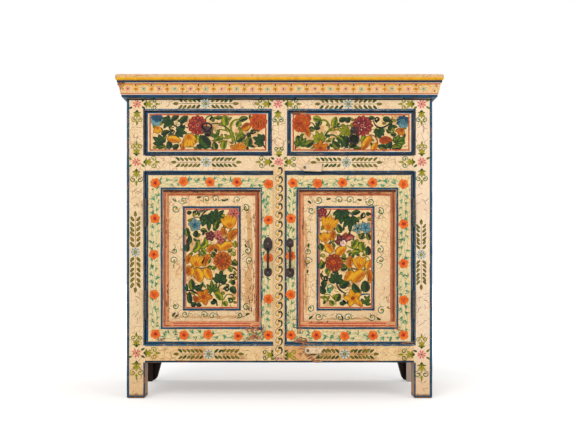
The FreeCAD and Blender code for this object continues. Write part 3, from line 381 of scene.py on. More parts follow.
TOP_BAND = ((243, 186, 30), (232, 160, 26))
LEG_WOOD = ((52, 34, 24), (26, 17, 12))
SOILED = ((220, 158, 94), (224, 168, 108))
HANDLED = ((226, 172, 96), (232, 186, 128))
LOOKS = {
    "post": aged_cream("posts", (247, 220, 176), TAN, ROSY, 0.7, 0.4, 0.45, 0.55, feet=True, lip=True),
    "rail": aged_cream("rails", (247, 220, 180), TAN, ROSY, 0.7, 0.35, 0.4, lip=True),
    "low_rail": aged_cream("low_rail", (246, 214, 160), *SOILED, 0.7, 0.85, 0.7, lip=True),
    "side": aged_cream("sides", (242, 214, 168), TAN, ROSY, 0.9, 0.4, 0.5, 0.35),
    "door": aged_cream("doors", (243, 216, 164), (226, 178, 108), (236, 196, 148), 0.5, 0.4, 0.45, lip=True),
    "panel": aged_cream("panels", (246, 218, 172), (228, 176, 112), (234, 188, 146), 1.1, 0.5, 0.5),
    "drawer": aged_cream("drawers", (242, 212, 160), *HANDLED, 0.5, 0.55, 0.45, lip=True),
    "frieze": aged_cream("frieze", (244, 204, 146), (226, 164, 92), (236, 184, 128), 0.9, 0.45, 0.45),
    "top": aged_cream("top", (222, 184, 142), TAN, ROSY, 0.9, 0.5, 0.45, band=TOP_BAND),
    "cover": aged_cream("cover_strip", (243, 212, 164), (228, 180, 116), (238, 196, 150), 0.5, 0.35, 0.2),
    "button": aged_cream("buttons", (238, 212, 174), (222, 178, 128), (226, 186, 152), 0.9, 0.35, 0.45),
    "navy": worn_paint("navy_paint", (18, 42, 62), (14, 22, 34), (60, 62, 64), 0.3),
    "blue": worn_paint("blue_paint", (10, 80, 118), (12, 48, 76), (150, 156, 150), 0.45),
    "moulding": worn_paint("moulding_paint", (216, 146, 92), (168, 96, 56), (232, 178, 122), 1.1, 0.55),
    "iron": forged_iron("forged_iron", (40, 33, 33), (70, 50, 42), (150, 134, 126)),
    "hinge": forged_iron("hinge_iron", (50, 56, 62), (70, 62, 56), (140, 140, 132)),
    "screw": forged_iron("old_screws", (96, 88, 80), (110, 84, 64), (170, 160, 148)),
    "dark_wood": bare_wood("dark_leg_wood", *LEG_WOOD, 2),
    "pale_leg": bare_wood("pale_leg_wood", *LEG_WOOD, 2, (222, 204, 190)),
}
for number, letter in enumerate("xyz"):
    LOOKS["wood_" + letter] = bare_wood("bare_wood_" + letter, (186, 142, 98), (122, 80, 50), number)

LOOK_BY_WORD = (
    ("rear_right_post", "pale_leg"), ("rear_left_post", "dark_wood"), ("rear_leg_brackets", "dark_wood"),
    ("_post", "post"), ("bottom_front_rail", "low_rail"), ("_front_rail", "rail"), ("drawer_divider", "rail"),
    ("side_panels", "side"), ("side_rails", "side"), ("top_board", "top"), ("frieze", "frieze"),
    ("cornice_fillets", "navy"), ("cornice_beads", "blue"), ("_door_panel", "panel"),
    ("_moulding", "moulding"), ("_astragal", "cover"), ("_stile", "door"), ("_door_rails", "door"),
    ("_drawer_front", "drawer"), ("_turn_button", "button"), ("hinge_leaves", "hinge"),
    ("hinge_pins", "hinge"), ("frame_screws", "screw"), ("_fasteners", "screw"), ("pull", "iron"),
    ("ring", "iron"), ("back_boards", "wood_z"),
)


def look_of(name):
    """The look of a node, by a word in its name; plain boards have their grain along their length."""
    for word, look in LOOK_BY_WORD:
        if word in name:
            return look
    low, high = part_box(name)
    size = high - low
    return "wood_" + "xyz"[max(range(3), key=lambda i: size[i])]


def dress_nodes():
    for name in sorted(NODES):
        piece = NODES[name]
        material = LOOKS[look_of(name)]
        if piece.material_slots:
            for slot in piece.material_slots:
                slot.material = material
        else:
            piece.data.materials.append(material)


dress_nodes()


# Painted decoration: thin closed shapes that lie on the wood, drawn freely with a ribbon and a round

INKS = {
    "blue": ((14, 72, 104), (12, 38, 60), (132, 142, 138), 0.75),
    "bright_blue": ((14, 78, 110), (12, 44, 70), (140, 150, 146), 0.7),
    "navy": ((18, 46, 70), (18, 26, 38), (104, 98, 90), 0.6),
    # This near-black ink is painted shadow, for the line under the cornice bead
    "cornice_shadow": ((22, 26, 34), (14, 16, 22), (60, 50, 44), 0.3),
    "lines": ((200, 76, 48), (170, 58, 36), (222, 148, 104), 0.55),
    "umber": ((84, 42, 26), (54, 28, 20), (146, 86, 50), 0.6),
    "tan_wash": ((226, 162, 112), (206, 134, 88), (234, 186, 138), 0.7),
    "shaded_russet": ((150, 82, 50), (130, 66, 40), (180, 116, 74), 0.5),
    "stain": ((138, 84, 52), (104, 62, 40), (196, 140, 96), 0.8),
    "chip": ((184, 122, 78), (156, 98, 62), (214, 160, 112), 0.8),
    "veil": ((236, 214, 166), (224, 210, 160), (240, 216, 170), 0.9),
    "tangerine": ((242, 122, 34), (228, 96, 22), (240, 150, 70), 0.3),
    "heart": ((184, 36, 24), (150, 26, 22), (220, 90, 50), 0.3),
    "petal_red": ((200, 58, 48), (216, 104, 88), (228, 148, 124), 0.4),
    "moss": ((136, 120, 20), (100, 94, 18), (164, 146, 56), 0.35),
    "fern": ((44, 108, 58), (32, 84, 48), (110, 138, 84), 0.35),
    "rose_pink": ((236, 164, 138), (226, 140, 120), (240, 190, 160), 0.3),
    "sea": ((196, 192, 146), (164, 182, 142), (226, 196, 150), 0.4),
    "ground": ((240, 208, 154), (228, 188, 126), (240, 210, 160), 0.8),
    "dusk": ((218, 172, 116), (204, 150, 96), (230, 190, 134), 0.9),
    "frost": ((228, 222, 196), (192, 206, 192), (230, 212, 176), 0.4),
    # This grey-purple ink is the painted shadow of the left drawer's ring
    "ring_shadow": ((92, 74, 68), (70, 54, 52), (120, 96, 80), 0.3),
    "lemon": ((232, 176, 34), (220, 156, 28), (230, 190, 100), 0.3),
    "navy_worn": ((48, 96, 124), (34, 54, 78), (190, 184, 168), 1.0),
    "brick": ((196, 112, 80), (178, 92, 62), (216, 150, 112), 0.5),
    "ink_green": ((20, 30, 14), (16, 22, 12), (64, 58, 28), 0.25),
    "dark_leaf": ((26, 58, 20), (16, 36, 14), (84, 90, 32), 0.3),
    "leaf": ((52, 86, 16), (36, 64, 16), (112, 112, 36), 0.35),
    "lime": ((132, 132, 14), (96, 108, 16), (168, 152, 46), 0.35),
    "yellow_green": ((174, 160, 24), (150, 144, 20), (198, 176, 66), 0.35),
    "olive": ((108, 100, 36), (86, 84, 34), (150, 130, 70), 0.3),
    "teal_leaf": ((52, 128, 96), (84, 148, 104), (150, 168, 120), 0.5),
    "vine": ((182, 186, 136), (156, 168, 116), (224, 204, 150), 0.5),
    "vein": ((128, 146, 100), (110, 126, 88), (120, 130, 90), 0.2),
    "outline": ((88, 46, 16), (64, 34, 16), (128, 76, 34), 0.25),
    "stem": ((116, 84, 36), (92, 84, 36), (150, 116, 60), 0.3),
    "gold": ((216, 146, 10), (192, 116, 8), (222, 164, 50), 0.35),
    "orange": ((196, 104, 10), (176, 84, 10), (206, 134, 40), 0.3),
    "rust": ((152, 66, 12), (124, 46, 12), (178, 98, 36), 0.3),
    "flame": ((204, 82, 18), (178, 62, 16), (218, 128, 60), 0.35),
    "scarlet": ((168, 44, 22), (136, 32, 22), (192, 92, 54), 0.3),
    "rose": ((158, 46, 32), (122, 30, 26), (190, 96, 68), 0.35),
    "crimson": ((122, 36, 36), (96, 28, 32), (164, 84, 62), 0.3),
    "wine": ((92, 32, 36), (70, 26, 32), (130, 66, 54), 0.25),
    "pink": ((198, 112, 92), (180, 88, 76), (216, 156, 126), 0.35),
    "pale_pink": ((238, 200, 178), (244, 212, 188), (236, 204, 168), 0.2),
    "sky": ((108, 150, 152), (76, 124, 138), (176, 176, 156), 0.35),
    "deep_sky": ((24, 84, 104), (18, 54, 74), (92, 124, 120), 0.3),
    "mist": ((146, 158, 134), (120, 138, 116), (190, 184, 146), 0.3),
    "white": ((242, 226, 196), (236, 216, 184), (232, 204, 164), 0.2),
    "yellow": ((236, 186, 52), (228, 170, 44), (234, 196, 110), 0.3),
    "black": ((44, 36, 32), (34, 28, 26), (84, 66, 52), 0.2),
    "bare": ((136, 84, 54), (110, 66, 44), (168, 116, 78), 0.5),
}
LOOK_OF_LEAF = {
    "dark": ("ink_green", "dark_leaf", "leaf", "ink_green"),
    "green": ("ink_green", "leaf", "lime", "ink_green"),
    "lime": ("leaf", "lime", "yellow_green", "leaf"),
    "gold": ("outline", "gold", "lemon", "orange"),
    "orange": ("outline", "orange", "gold", "rust"),
    "rust": ("outline", "gold", "orange", "rust"),
    "mist": ("outline", "mist", "sky", "deep_sky"),
    "sky": ("ink_green", "sky", "mist", "deep_sky"),
    "wine": ("black", "wine", "crimson", "pink"),
    "pink": ("wine", "pink", "crimson", "wine"),
    "flame": ("outline", "flame", "rust", "rust"),
    "tan": ("outline", "mist", "pink", "outline"),
    "moss": ("dark_leaf", "moss", "lime", None),
    "ochre": ("outline", "moss", "yellow_green", None),
}
PAINTS = {name: ink(name, *row) for name, row in INKS.items()}

hand = random.Random(7)


def soft_curve(points, per_span=4):
    """A smooth path through given points."""
    if len(points) < 3:
        (x0, y0), (x1, y1) = points[0], points[-1]
        return [(x0 + (x1 - x0) * i / 4, y0 + (y1 - y0) * i / 4) for i in range(5)]
    ends = [points[0]] + list(points) + [points[-1]]
    path = []
    for a, b, c, d in zip(ends, ends[1:], ends[2:], ends[3:]):
        for i in range(per_span):
            t = i / per_span
            path.append(tuple(
                0.5 * (2 * b[k] + (c[k] - a[k]) * t + (2 * a[k] - 5 * b[k] + 4 * c[k] - d[k]) * t * t
                       + (3 * b[k] - a[k] - 3 * c[k] + d[k]) * t ** 3)
                for k in (0, 1)
            ))
    path.append(tuple(points[-1]))
    return path


# How a stroke's width runs from its start, at 0, to its end, at 1

def even(t):
    return 1.0 if 0.02 < t < 0.98 else 0.75


def leafy(t):
    return max(0.0, math.sin(math.pi * t ** 0.85)) ** 0.8


def petal(t):
    return max(0.0, math.sin(math.pi * min(1.0, 0.06 + 0.94 * t) ** 1.45)) ** 0.62


def swelling(t):
    return 0.45 + 0.55 * math.sin(math.pi * t)


def comma(t):
    return min(1.0, 0.6 + 6 * t) * (1.0 - t) ** 0.55


def scroll(t):
    return min(1.0, 0.75 + 3 * t) * (1.0 - 0.6 * t)


def towards(x, y, angle, length):
    """The photograph point that lies that far off at an angle, counted anticlockwise from the right."""
    a = math.radians(angle)
    return x + math.cos(a) * length, y - math.sin(a) * length


def around(count, turn=0.0):
    """Angles that share out a full turn."""
    return [turn + 360.0 * k / count for k in range(count)]


# A tulip's petals, from the back ones to the front one: turn, length and width as shares of the cup's

TULIP_PETALS = (
    (-1.25, 0.98, 0.4), (1.25, 0.98, 0.4), (-0.55, 0.9, 0.42), (0.55, 0.9, 0.42), (0.0, 1.0, 0.42),
)


class Sheet:
    """All the painted shapes of one surface, which ride on one body."""

    unit, wobble = MM_PER_PIXEL, 0.1

    def __init__(self, name, body, slot, relief, start_y, lift=0.12, dx=0.0, dy=0.0):
        self.name, self.body, self.slot, self.relief = name, body, slot, relief
        self.start_y, self.lift, self.dx, self.dy = start_y, lift, dx, dy
        self.points, self.faces, self.indices, self.paints = [], [], [], []
        self.count = 0

    def place(self, px, py, rise):
        y = self.start_y
        for _ in range(3):
            x, z = photo_mm(px + self.dx, py + self.dy, y)
            y = self.relief(x, z)
        return (x * MM, (y - rise) * MM, z * MM)

    def mm(self, x, z):
        """The photograph point of a place given in millimetres."""
        scale = scale_at(self.relief(x, z))
        return x / scale + MIDDLE_PX - self.dx, HORIZON_PX - (z - EYE_HEIGHT) / scale - self.dy

    def heights(self, layer):
        """How far a shape's face stands off the surface and its back lies in it."""
        self.count += 1
        return self.lift + 0.035 * layer + 0.0015 * (self.count % 17), -0.05

    def add(self, rows, faces, paint):
        if paint not in self.paints:
            self.paints.append(paint)
        start = len(self.points)
        self.points.extend(rows)
        self.faces.extend([tuple(start + i for i in face) for face in faces])
        self.indices.extend([self.paints.index(paint)] * len(faces))

    def ribbon(self, left, right, paint, layer):
        top, bottom = self.heights(layer)
        rows, faces = [], []
        for a, b in zip(left, right):
            rows += [self.place(*a, top), self.place(*b, top), self.place(*b, bottom), self.place(*a, bottom)]
        last = 4 * (len(left) - 1)
        for p in range(0, last, 4):
            for k in range(4):
                j = (k + 1) % 4
                faces.append((p + k, p + j, p + 4 + j, p + 4 + k))
        faces.append((3, 2, 1, 0))
        faces.append((last, last + 1, last + 2, last + 3))
        self.add(rows, faces, paint)

    def stroke(self, points, width, paint, layer=0, profile=even, per_span=4):
        path = soft_curve(points, per_span)
        left, right = [], []
        for i, (x, y) in enumerate(path):
            before, after = path[max(i - 1, 0)], path[min(i + 1, len(path) - 1)]
            dx, dy = after[0] - before[0], after[1] - before[1]
            length = math.hypot(dx, dy) or 1.0
            half = max(0.5 * width * profile(i / (len(path) - 1)), 0.03)
            nx, ny = -dy / length * half, dx / length * half
            left.append((x + nx, y + ny))
            right.append((x - nx, y - ny))
        self.ribbon(left, right, paint, layer)

    def ray(self, x, y, angle, near, far, width, paint, layer=1, profile=leafy):
        """A stroke that leads straight away from a point, from one distance to another."""
        self.stroke([towards(x, y, angle, near), towards(x, y, angle, far)], width, paint, layer, profile)

    def stem(self, points, width, paint, layer=0):
        self.stroke(points, width, paint, layer, swelling)

    def round(self, x, y, radius, paint, layer=0, squash=1.0, turn=0.0, lobes=0, depth=0.12, n=16):
        """A round or scalloped patch."""
        if lobes:
            n = lobes * 4
        top, bottom = self.heights(layer)
        c, s = math.cos(math.radians(turn)), math.sin(math.radians(turn))
        ring = []
        for i in range(n):
            a = 2 * math.pi * i / n
            r = radius * (1 - depth + depth * abs(math.cos(a * lobes / 2)) ** 0.6 * 1.6) if lobes else radius
            u, v = r * math.cos(a), r * math.sin(a) * squash
            ring.append((x + u * c + v * s, y - u * s + v * c))
        rows = [self.place(x, y, top)] + [self.place(*p, top) for p in ring]
        rows += [self.place(x, y, bottom)] + [self.place(*p, bottom) for p in ring]
        faces = []
        for i in range(n):
            j = (i + 1) % n
            faces.append((0, 1 + i, 1 + j))
            faces.append((n + 1, n + 2 + j, n + 2 + i))
            faces.append((1 + i, n + 2 + i, n + 2 + j, 1 + j))
        self.add(rows, faces, paint)

    def line(self, start, end, width, paint, layer=0, wobble=0.1):
        """A long brush line, drawn by hand between two points."""
        length = math.hypot(end[0] - start[0], end[1] - start[1])
        n = max(2, int(length / 9))
        nx, ny = (start[1] - end[1]) / length, (end[0] - start[0]) / length
        left, right = [], []
        for i in range(n + 1):
            t = i / n
            x, y = start[0] + (end[0] - start[0]) * t, start[1] + (end[1] - start[1]) * t
            off = hand.uniform(-wobble, wobble) if 0 < i < n else 0.0
            half = 0.5 * width * hand.uniform(0.9, 1.08)
            left.append((x + nx * (off + half), y + ny * (off + half)))
            right.append((x + nx * (off - half), y + ny * (off - half)))
        self.ribbon(left, right, paint, layer)

    def level(self, half, z, width, paint, layer=0):
        """A brush line across the front at one height, to the same distance on both sides."""
        self.line(self.mm(-half, z), self.mm(half, z), width, paint, layer)

    def frame(self, x0, x1, z0, z1, width, paint, layer=0, sides="lrtb"):
        """Brush lines round a rectangle: its outer edge and their width are given in millimetres."""
        h = width / 2
        edges = (("l", x0 + h, z0, x0 + h, z1), ("r", x1 - h, z0, x1 - h, z1),
                 ("t", x0, z1 - h, x1, z1 - h), ("b", x0, z0 + h, x1, z0 + h))
        for side, xa, za, xb, zb in edges:
            if side in sides:
                self.line(self.mm(xa, za), self.mm(xb, zb), width / self.unit, paint, layer, self.wobble)

    # Motifs

    def leaf(self, x, y, length, width, angle, look="green", bend=0.1, layer=1):
        dark, body, light, vein = LOOK_OF_LEAF[look]
        heel, tip = towards(x, y, angle + 180, length / 2), towards(x, y, angle, length / 2)
        middle = towards(x, y, angle + 90, bend * length)
        points = [heel, middle, tip]
        if dark:
            rim = [towards(*heel, angle + 180, 0.3), middle, towards(*tip, angle, 0.5)]
            self.stroke(rim, width + 0.9, dark, layer, leafy)
        self.stroke(points, width, body, layer + 1, leafy)
        shift = 0.2 * width * (1 if bend >= 0 else -1)

        def beside(turn, shorter):
            """The leaf's own path, a little to one side and shorter."""
            moved = [towards(*point, angle + turn, shift) for point in points]
            ends = zip(moved, (0.0, 0.5, 1.0))
            return [towards(*point, angle, (0.5 - t) * shorter * length) for point, t in ends]

        if light and width > 2.2:
            self.stroke(beside(90, 0.16), width * 0.4, light, layer + 2, leafy)
        if light and width > 3.6:
            self.stroke(beside(-90, 0.2), width * 0.26, vein or dark, layer + 2, leafy)
            for t in (0.22, 0.38, 0.54, 0.7):
                foot = heel[0] + (tip[0] - heel[0]) * t, heel[1] + (tip[1] - heel[1]) * t
                foot = towards(*foot, angle + 90, bend * length * 4 * t * (1 - t) * 0.5)
                for a in (angle - 42, angle + 42):
                    self.ray(*foot, a, 0.0, width * 0.42, 0.3, vein or dark, layer + 3, swelling)
        if vein and width > 2.8:
            self.stroke(points, 0.5, vein, layer + 3, swelling)

    def fan(self, x, y, petals, look, layer=1):
        """Leaves or petals that spread from one point: (angle, length, width) each."""
        dark, body, light, line = LOOK_OF_LEAF[look]
        for extra, grow, paint, height in ((0.4, 0.75, dark, layer), (0, 0, body, layer + 1)):
            for angle, length, width in petals if paint else ():
                path = [(x, y), towards(x, y, angle, length * 0.5), towards(x, y, angle, length + extra)]
                self.stroke(path, width + grow, paint, height, leafy)
        for angle, length, width in petals:
            if light and width > 2.0:
                start = towards(*towards(x, y, angle, length * 0.3), angle + 90, width * 0.13)
                end = towards(x, y, angle, length * 0.92)
                self.stroke([start, end], width * 0.36, light, layer + 2, leafy)
        for angle, length, width in petals:
            if line and length > 4:
                self.ray(x, y, angle, length * 0.12, length * 0.8, 0.36, line, layer + 3, swelling)

    def lobed(self, x, y, width, height, angle, look="dark", lobes=5):
        """A deeply cut leaf, given by its middle."""
        spread = [2.0 * k / (lobes - 1) - 1.0 for k in range(lobes)]
        petals = [(angle + f * 64, height * (1.0 - 0.36 * abs(f)), width * 0.4) for f in spread]
        petals.sort(key=lambda p: -abs(p[0] - angle))
        self.fan(*towards(x, y, angle + 180, height * 0.48), petals, look)

    def tulip(self, x, y, width, height, angle, look="orange", layer=2):
        """A cup of pointed petals, given by its middle."""
        heel = towards(x, y, angle + 180, height * 0.5)
        dark, body, light, line = LOOK_OF_LEAF[look]
        spread = math.degrees(math.atan2(width * 0.42, height * 0.8))
        petals = [(angle + spread * turn, height * long, width * wide) for turn, long, wide in TULIP_PETALS]
        belly = towards(*heel, angle, height * 0.3)
        self.round(*belly, width * 0.36, dark, layer)
        self.fan(*heel, petals, look, layer)
        self.round(*belly, width * 0.31, body, layer + 1)
        for turn in (-14, 4, 20):
            reach = height * hand.uniform(0.42, 0.6)
            self.ray(*heel, angle + turn, height * 0.1, reach, width * 0.1, line, layer + 3)
        self.round(*towards(*heel, angle, height * 0.2), width * 0.13, line, layer + 3)

    def star(self, x, y, radius, look, petals=5, turn=90, width=0.75, heart=None):
        """Pointed petals all round."""
        self.fan(x, y, [(a, radius, radius * width) for a in around(petals, turn)], look, 2)
        if look in ("sky", "mist"):
            for angle in around(petals, turn):
                for off in (-14, 14):
                    a = angle + off
                    path = [towards(x, y, a, radius * 0.2), towards(x, y, a - off * 0.3, radius * 0.75)]
                    self.stroke(path, 0.4, "deep_sky", 6, swelling)
        if heart:
            self.round(x, y, radius * 0.22, heart, 5)

    def bloom(self, x, y, radius, colour, edge, heart, petals=5, turn=18, layer=2, streak=None):
        """Round petals all round, with a heart."""
        for grow, paint, height in ((0.28, edge, layer), (0.0, colour, layer + 1)):
            for a in around(petals, turn):
                self.round(*towards(x, y, a, radius * 0.52), radius * 0.5 + grow, paint, height)
        self.round(x, y, radius * 0.5, colour, layer + 1)
        if streak:
            for a in around(petals, turn):
                a += hand.uniform(-8, 8)
                self.ray(x, y, a, radius * 0.25, radius * 0.8, radius * 0.16, streak, layer + 2)
        if heart:
            self.round(x, y, radius * 0.2, heart, layer + 3)

    def rose(self, x, y, radius, colour, edge, ring, inner, heart, lobes=11):
        """A full scalloped flower: crowded petals, brushed from the rim inwards, round a dark eye."""
        glint, speck = ("pink", "pale_pink") if colour == "rose" else ("tangerine", "gold")
        self.round(x, y, radius + 0.35, edge, 3, lobes=lobes, depth=0.08)
        self.round(x, y, radius - 0.05, colour, 4, lobes=lobes, depth=0.08)
        for k, a in enumerate(around(lobes * 2)):
            a += hand.uniform(-5, 5)
            near, far = radius * hand.uniform(0.52, 0.66), radius * hand.uniform(0.86, 0.98)
            self.ray(x, y, a, near, far, radius * hand.uniform(0.05, 0.15), ring if k % 3 else inner, 5)
        for k in range(lobes):
            a = 360.0 * (k + 0.5) / lobes + hand.uniform(-3, 3)
            path = [towards(x, y, a, radius * 0.5), towards(x, y, a + 3, radius * 0.98)]
            self.stroke(path, 0.75, edge, 6, leafy)
            tip = towards(x, y, a + 180.0 / lobes, radius * 0.86)
            self.stroke([towards(*tip, a + 70, 1.0), tip, towards(*tip, a - 70, 1.0)], 0.4, glint, 6, leafy)
        self.round(x, y, radius * 0.6, edge, 5, lobes=7, depth=0.2)
        self.round(x, y, radius * 0.54, ring, 6, lobes=7, depth=0.2)
        for k in range(16):
            a, far = hand.uniform(0, 360), radius * hand.uniform(0.2, 0.54)
            spot = towards(x, y, a, far)
            path = [spot, towards(*spot, a + hand.uniform(40, 90), radius * 0.22)]
            self.stroke(path, 0.65, (edge, inner, edge, speck)[k % 4], 7, leafy)
        self.round(x, y, radius * 0.2, inner, 7, lobes=5)
        self.round(x, y, radius * 0.1, heart, 8, n=8)

    def curl(self, x, y, radius, start, turns, width, paint, tail=(), way=1, head=1.0):
        """A spiral that opens from its head, and runs on along a tail."""
        n = max(5, int(abs(turns) * 9))
        points = []
        for i in range(n + 1):
            t = i / n
            points.append(towards(x, y, start + way * 360.0 * turns * t, radius * (0.3 + 0.7 * t)))
        self.stroke(points + list(tail), width, paint, 1, scroll, 3)
        self.round(*points[0], width * 0.62 * head, paint, 2, n=10)

    def build(self):
        mesh = bpy.data.meshes.new(self.name)
        mesh.from_pydata(self.points, [], self.faces)
        for paint in self.paints:
            mesh.materials.append(PAINTS[paint])
        mesh.polygons.foreach_set("material_index", self.indices)
        shape = bmesh.new()
        shape.from_mesh(mesh)
        bmesh.ops.recalc_face_normals(shape, faces=shape.faces)
        shape.to_mesh(mesh)
        shape.free()
        painted = bpy.data.objects.new(self.name, mesh)
        bpy.context.scene.collection.objects.link(painted)
        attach(painted, self.body)


# Where the painted surfaces lie, in millimetres

POST_X = 420.5
POST_INNER = 370.5
POST_FOOT, POST_HEAD = 4.0, 826.5
DIVIDER_INNER, DIVIDER_OUTER = 20.4, 25.0
BOTTOM_RAIL, MIDDLE_RAIL, TOP_RAIL_LOW = (99.0, 149.0), (623.0, 673.0), 793.0
LINE_LAP = 3.0
DOOR_OUT, DOOR_LOW, DOOR_HIGH = 367.3, 151.0, 621.0
LEFT_DOOR_EDGE, RIGHT_DOOR_EDGE = -17.6, 14.3
OPEN_IN, OPEN_OUT, OPEN_LOW, OPEN_HIGH = 52.2, 321.3, 197.0, 575.0
MOULDING = 15.0
DRAWER_IN, DRAWER_OUT, DRAWER_LOW, DRAWER_HIGH = 27.0, 368.5, 675.3, 791.0
FIELD_IN, FIELD_OUT, FIELD_LOW, FIELD_HIGH = 106.7, 266.8, 242.0, 530.0
FIELD_DEPTH = 3.0
RIGHT_FIELD_SHIFT = -4.5
STRIP_MIDDLE, STRIP_HALF, STRIP_CROWN, STRIP_RISE = -1.7, 15.3, FRAME_Y - 10.8, 7.0


def flat(y):
    return lambda x, z: y


def door_relief(face_y, shift=0.0):
    """The door's face: flat members, the sloped moulding, the panel's slopes and its raised field."""
    mid_x, mid_z = (OPEN_IN + OPEN_OUT) / 2, (OPEN_LOW + OPEN_HIGH) / 2
    half_x, half_z = (OPEN_OUT - OPEN_IN) / 2, (OPEN_HIGH - OPEN_LOW) / 2
    field_x, field_z = (FIELD_OUT - FIELD_IN) / 2, (FIELD_HIGH - FIELD_LOW) / 2
    panel_x, panel_z = half_x - MOULDING - 0.5, half_z - MOULDING - 0.5
    top = field_z + 2.0

    def surface(x, z):
        off, dz = abs(x) - mid_x, abs(z - mid_z)
        dx = abs(off)
        inset = min(half_x - dx, half_z - dz)
        if inset < 0:
            return face_y
        if inset < MOULDING:
            return face_y + 1.5 + 9.0 * inset / MOULDING
        if abs(off - shift) <= field_x + 0.8 and dz <= field_z + 0.8:
            return face_y + FIELD_DEPTH
        edge = field_x + 2.0 + (shift if off > 0 else -shift)
        slope = max((dx - edge) / (panel_x - edge), (dz - top) / (panel_z - top), 0.0)
        return face_y + 5.0 + 7.0 * min(slope, 1.0)
    return surface


def frieze_relief(x, z):
    return FRAME_Y - 14.0 - 7.0 * (z - 834.0) / 32.0


def strip_relief(x, z):
    radius = (STRIP_HALF ** 2 + STRIP_RISE ** 2) / (2 * STRIP_RISE)
    off = min(abs(x - STRIP_MIDDLE), STRIP_HALF)
    return STRIP_CROWN + radius - math.sqrt(radius ** 2 - off ** 2)


# The frame: brush lines, flowers at the crossings, garlands between them

HALO_FROM_PX = 200.0
CROSS_LEAVES = (
    (-54, 5.0, 1.9, "lime"), (54, 5.0, 1.9, "lime"), (-28, 7.6, 2.2, "yellow_green"),
    (28, 7.6, 2.2, "yellow_green"), (0, 9.4, 2.4, "yellow_green"),
)


def crossing(s, x, y, arms):
    """Eight loose petals round a small eye, with a cut leaf, two rings and a tip leaf along each arm."""
    for angle, stretch in arms:
        cross_arm(s, x, y, angle, stretch)
    for diagonal in (30, 150, 210, 330):
        if hand.random() < 0.7:
            lean = diagonal + hand.uniform(-14, 14)
            look = "lime" if hand.random() < 0.6 else "green"
            s.leaf(*towards(x, y, diagonal, 7.4), 3.4, 1.2, lean, look, 0.05)
    if x > HALO_FROM_PX:
        s.round(x, y, 4.8, "pale_pink", 0, lobes=6, depth=0.3, turn=30)
    for angle in around(8, 22.5):
        a = angle + hand.uniform(-7, 7)
        reach = 4.8 + hand.uniform(-0.5, 0.4)
        s.stroke([towards(x, y, a, far) for far in (0.9, 3.0, reach)], 1.7, "rose_pink", 1, petal)
        s.stroke([towards(x, y, a, 1.0), towards(x, y, a + 5, reach - 0.3)], 1.05, "petal_red", 2, petal)
    s.round(x, y, 0.9, "moss", 3)
    s.stroke([towards(x, y, 200, 0.9), towards(x, y, 20, 0.9)], 0.8, "dark_leaf", 4, leafy)


def cross_arm(s, x, y, angle, stretch):
    def at(far, off=0.0):
        return towards(*towards(x, y, angle, far * stretch), angle + 90, off)

    base = towards(x, y, angle, 6.2 * stretch)
    for turn, length, width, paint in CROSS_LEAVES:
        middle = towards(*towards(*base, angle, length * 0.5 * stretch), angle + 90, 0.02 * turn)
        for shorter, grow, colour, layer in ((0.0, 0.25, "moss", 1), (0.5, -0.3, paint, 2)):
            tip = towards(*base, angle + turn, (length - shorter) * stretch)
            s.stroke([base, middle, tip], width + grow, colour, layer, leafy)
    for turn, length in ((-24, 3.6), (0, 5.4), (24, 3.6)):
        s.ray(*base, angle + turn, 0.2, length * stretch, 0.75, "dark_leaf", 4)
    paint = hand.choice(("fern", "lime", "fern"))
    for side in (-1, 1):
        across = angle + 90 * side
        hub = towards(*at(16.4), across, 3.1 * stretch)
        tail = (towards(*at(13.6), across, 2.7 * stretch), towards(*at(12.4), across, 0.8))
        s.curl(*hub, 2.6 * stretch, angle + 180 - 30 * side, 1.0, 1.25, paint, tail, side)
        if hand.random() < 0.5:
            s.round(*hub, 0.7, "lemon", 2)
    if stretch > 0.9:
        s.stroke([at(17.8), at(20.2), at(22.6)], 1.7, "lime", 1, leafy)
        for side in (-1, 1):
            s.stroke([at(17.2), towards(*at(19.6), angle + 90 * side, 1.8)], 1.0, "yellow_green", 1, leafy)


def garland(s, x, y, half, angle, pairs):
    """Leaf pairs that run away from a daisy on both sides."""
    upright = angle == 90
    pitch = (half - 12.4) / (pairs - 0.6)
    looks = ("moss", "moss", "ochre") if upright else ("moss", "green", "moss")
    long, wide = (5.3, 2.1) if half > 38 else (4.6, 1.55)
    for way in (0, 180):
        a = angle + way
        s.ray(x, y, a, 5.4, half - 3.5, 0.55, "moss" if upright else "leaf", 0, swelling)
        for k in range(pairs):
            for side in (-1, 1):
                lean = a + side * (39 + hand.uniform(-5, 5))
                along = towards(x, y, a, 7.8 + k * pitch + hand.uniform(-0.4, 0.4))
                middle = towards(*along, a + 90 * side, 2.9 + hand.uniform(-0.2, 0.2))
                look = hand.choice(looks)
                s.leaf(*middle, long * hand.uniform(0.9, 1.1), wide, lean, look, 0.1 * side)
        s.leaf(*towards(x, y, a, half - 2.0), 4.8, 2.1, a, "moss", 0.0)
    for k, a in enumerate(around(8, 22.5)):
        s.ray(x, y, a, 1.3, 5.4, 2.2, "sky", 1, petal)
        s.ray(x, y, a, 1.7, 5.2, 1.8, "frost", 2, petal)
        s.ray(x, y, a, 2.0, 3.4, 0.6, "navy" if k % 2 else "deep_sky", 3)
        s.ray(x, y, a + 22.5, 3.0, 4.6, 0.7, "navy" if k % 2 else "ink_green", 3)
    s.round(x, y, 1.5, "dark_leaf", 3)
    s.round(x, y, 1.0, "yellow_green", 4)


def wash(s, path, width):
    """A soft darkening along a line: many thin strokes over one another, so that it has no edge."""
    path = soft_curve(path, 12)
    level = abs(path[-1][0] - path[0][0]) > abs(path[-1][1] - path[0][1])
    for _ in range(int(6 * width * len(path) / 10)):
        i = hand.randrange(len(path) - 6)
        off = hand.gauss(0.0, 0.24) * width
        part = path[i:i + hand.randrange(2, 6) + 1]
        points = [(x + off + hand.uniform(-0.3, 0.3), y) for x, y in part]
        if level:
            points = [(x, y + off + hand.uniform(-0.2, 0.2)) for x, y in part]
        s.stroke(points, hand.uniform(0.4, 1.1), "dusk", -1, swelling, 2)


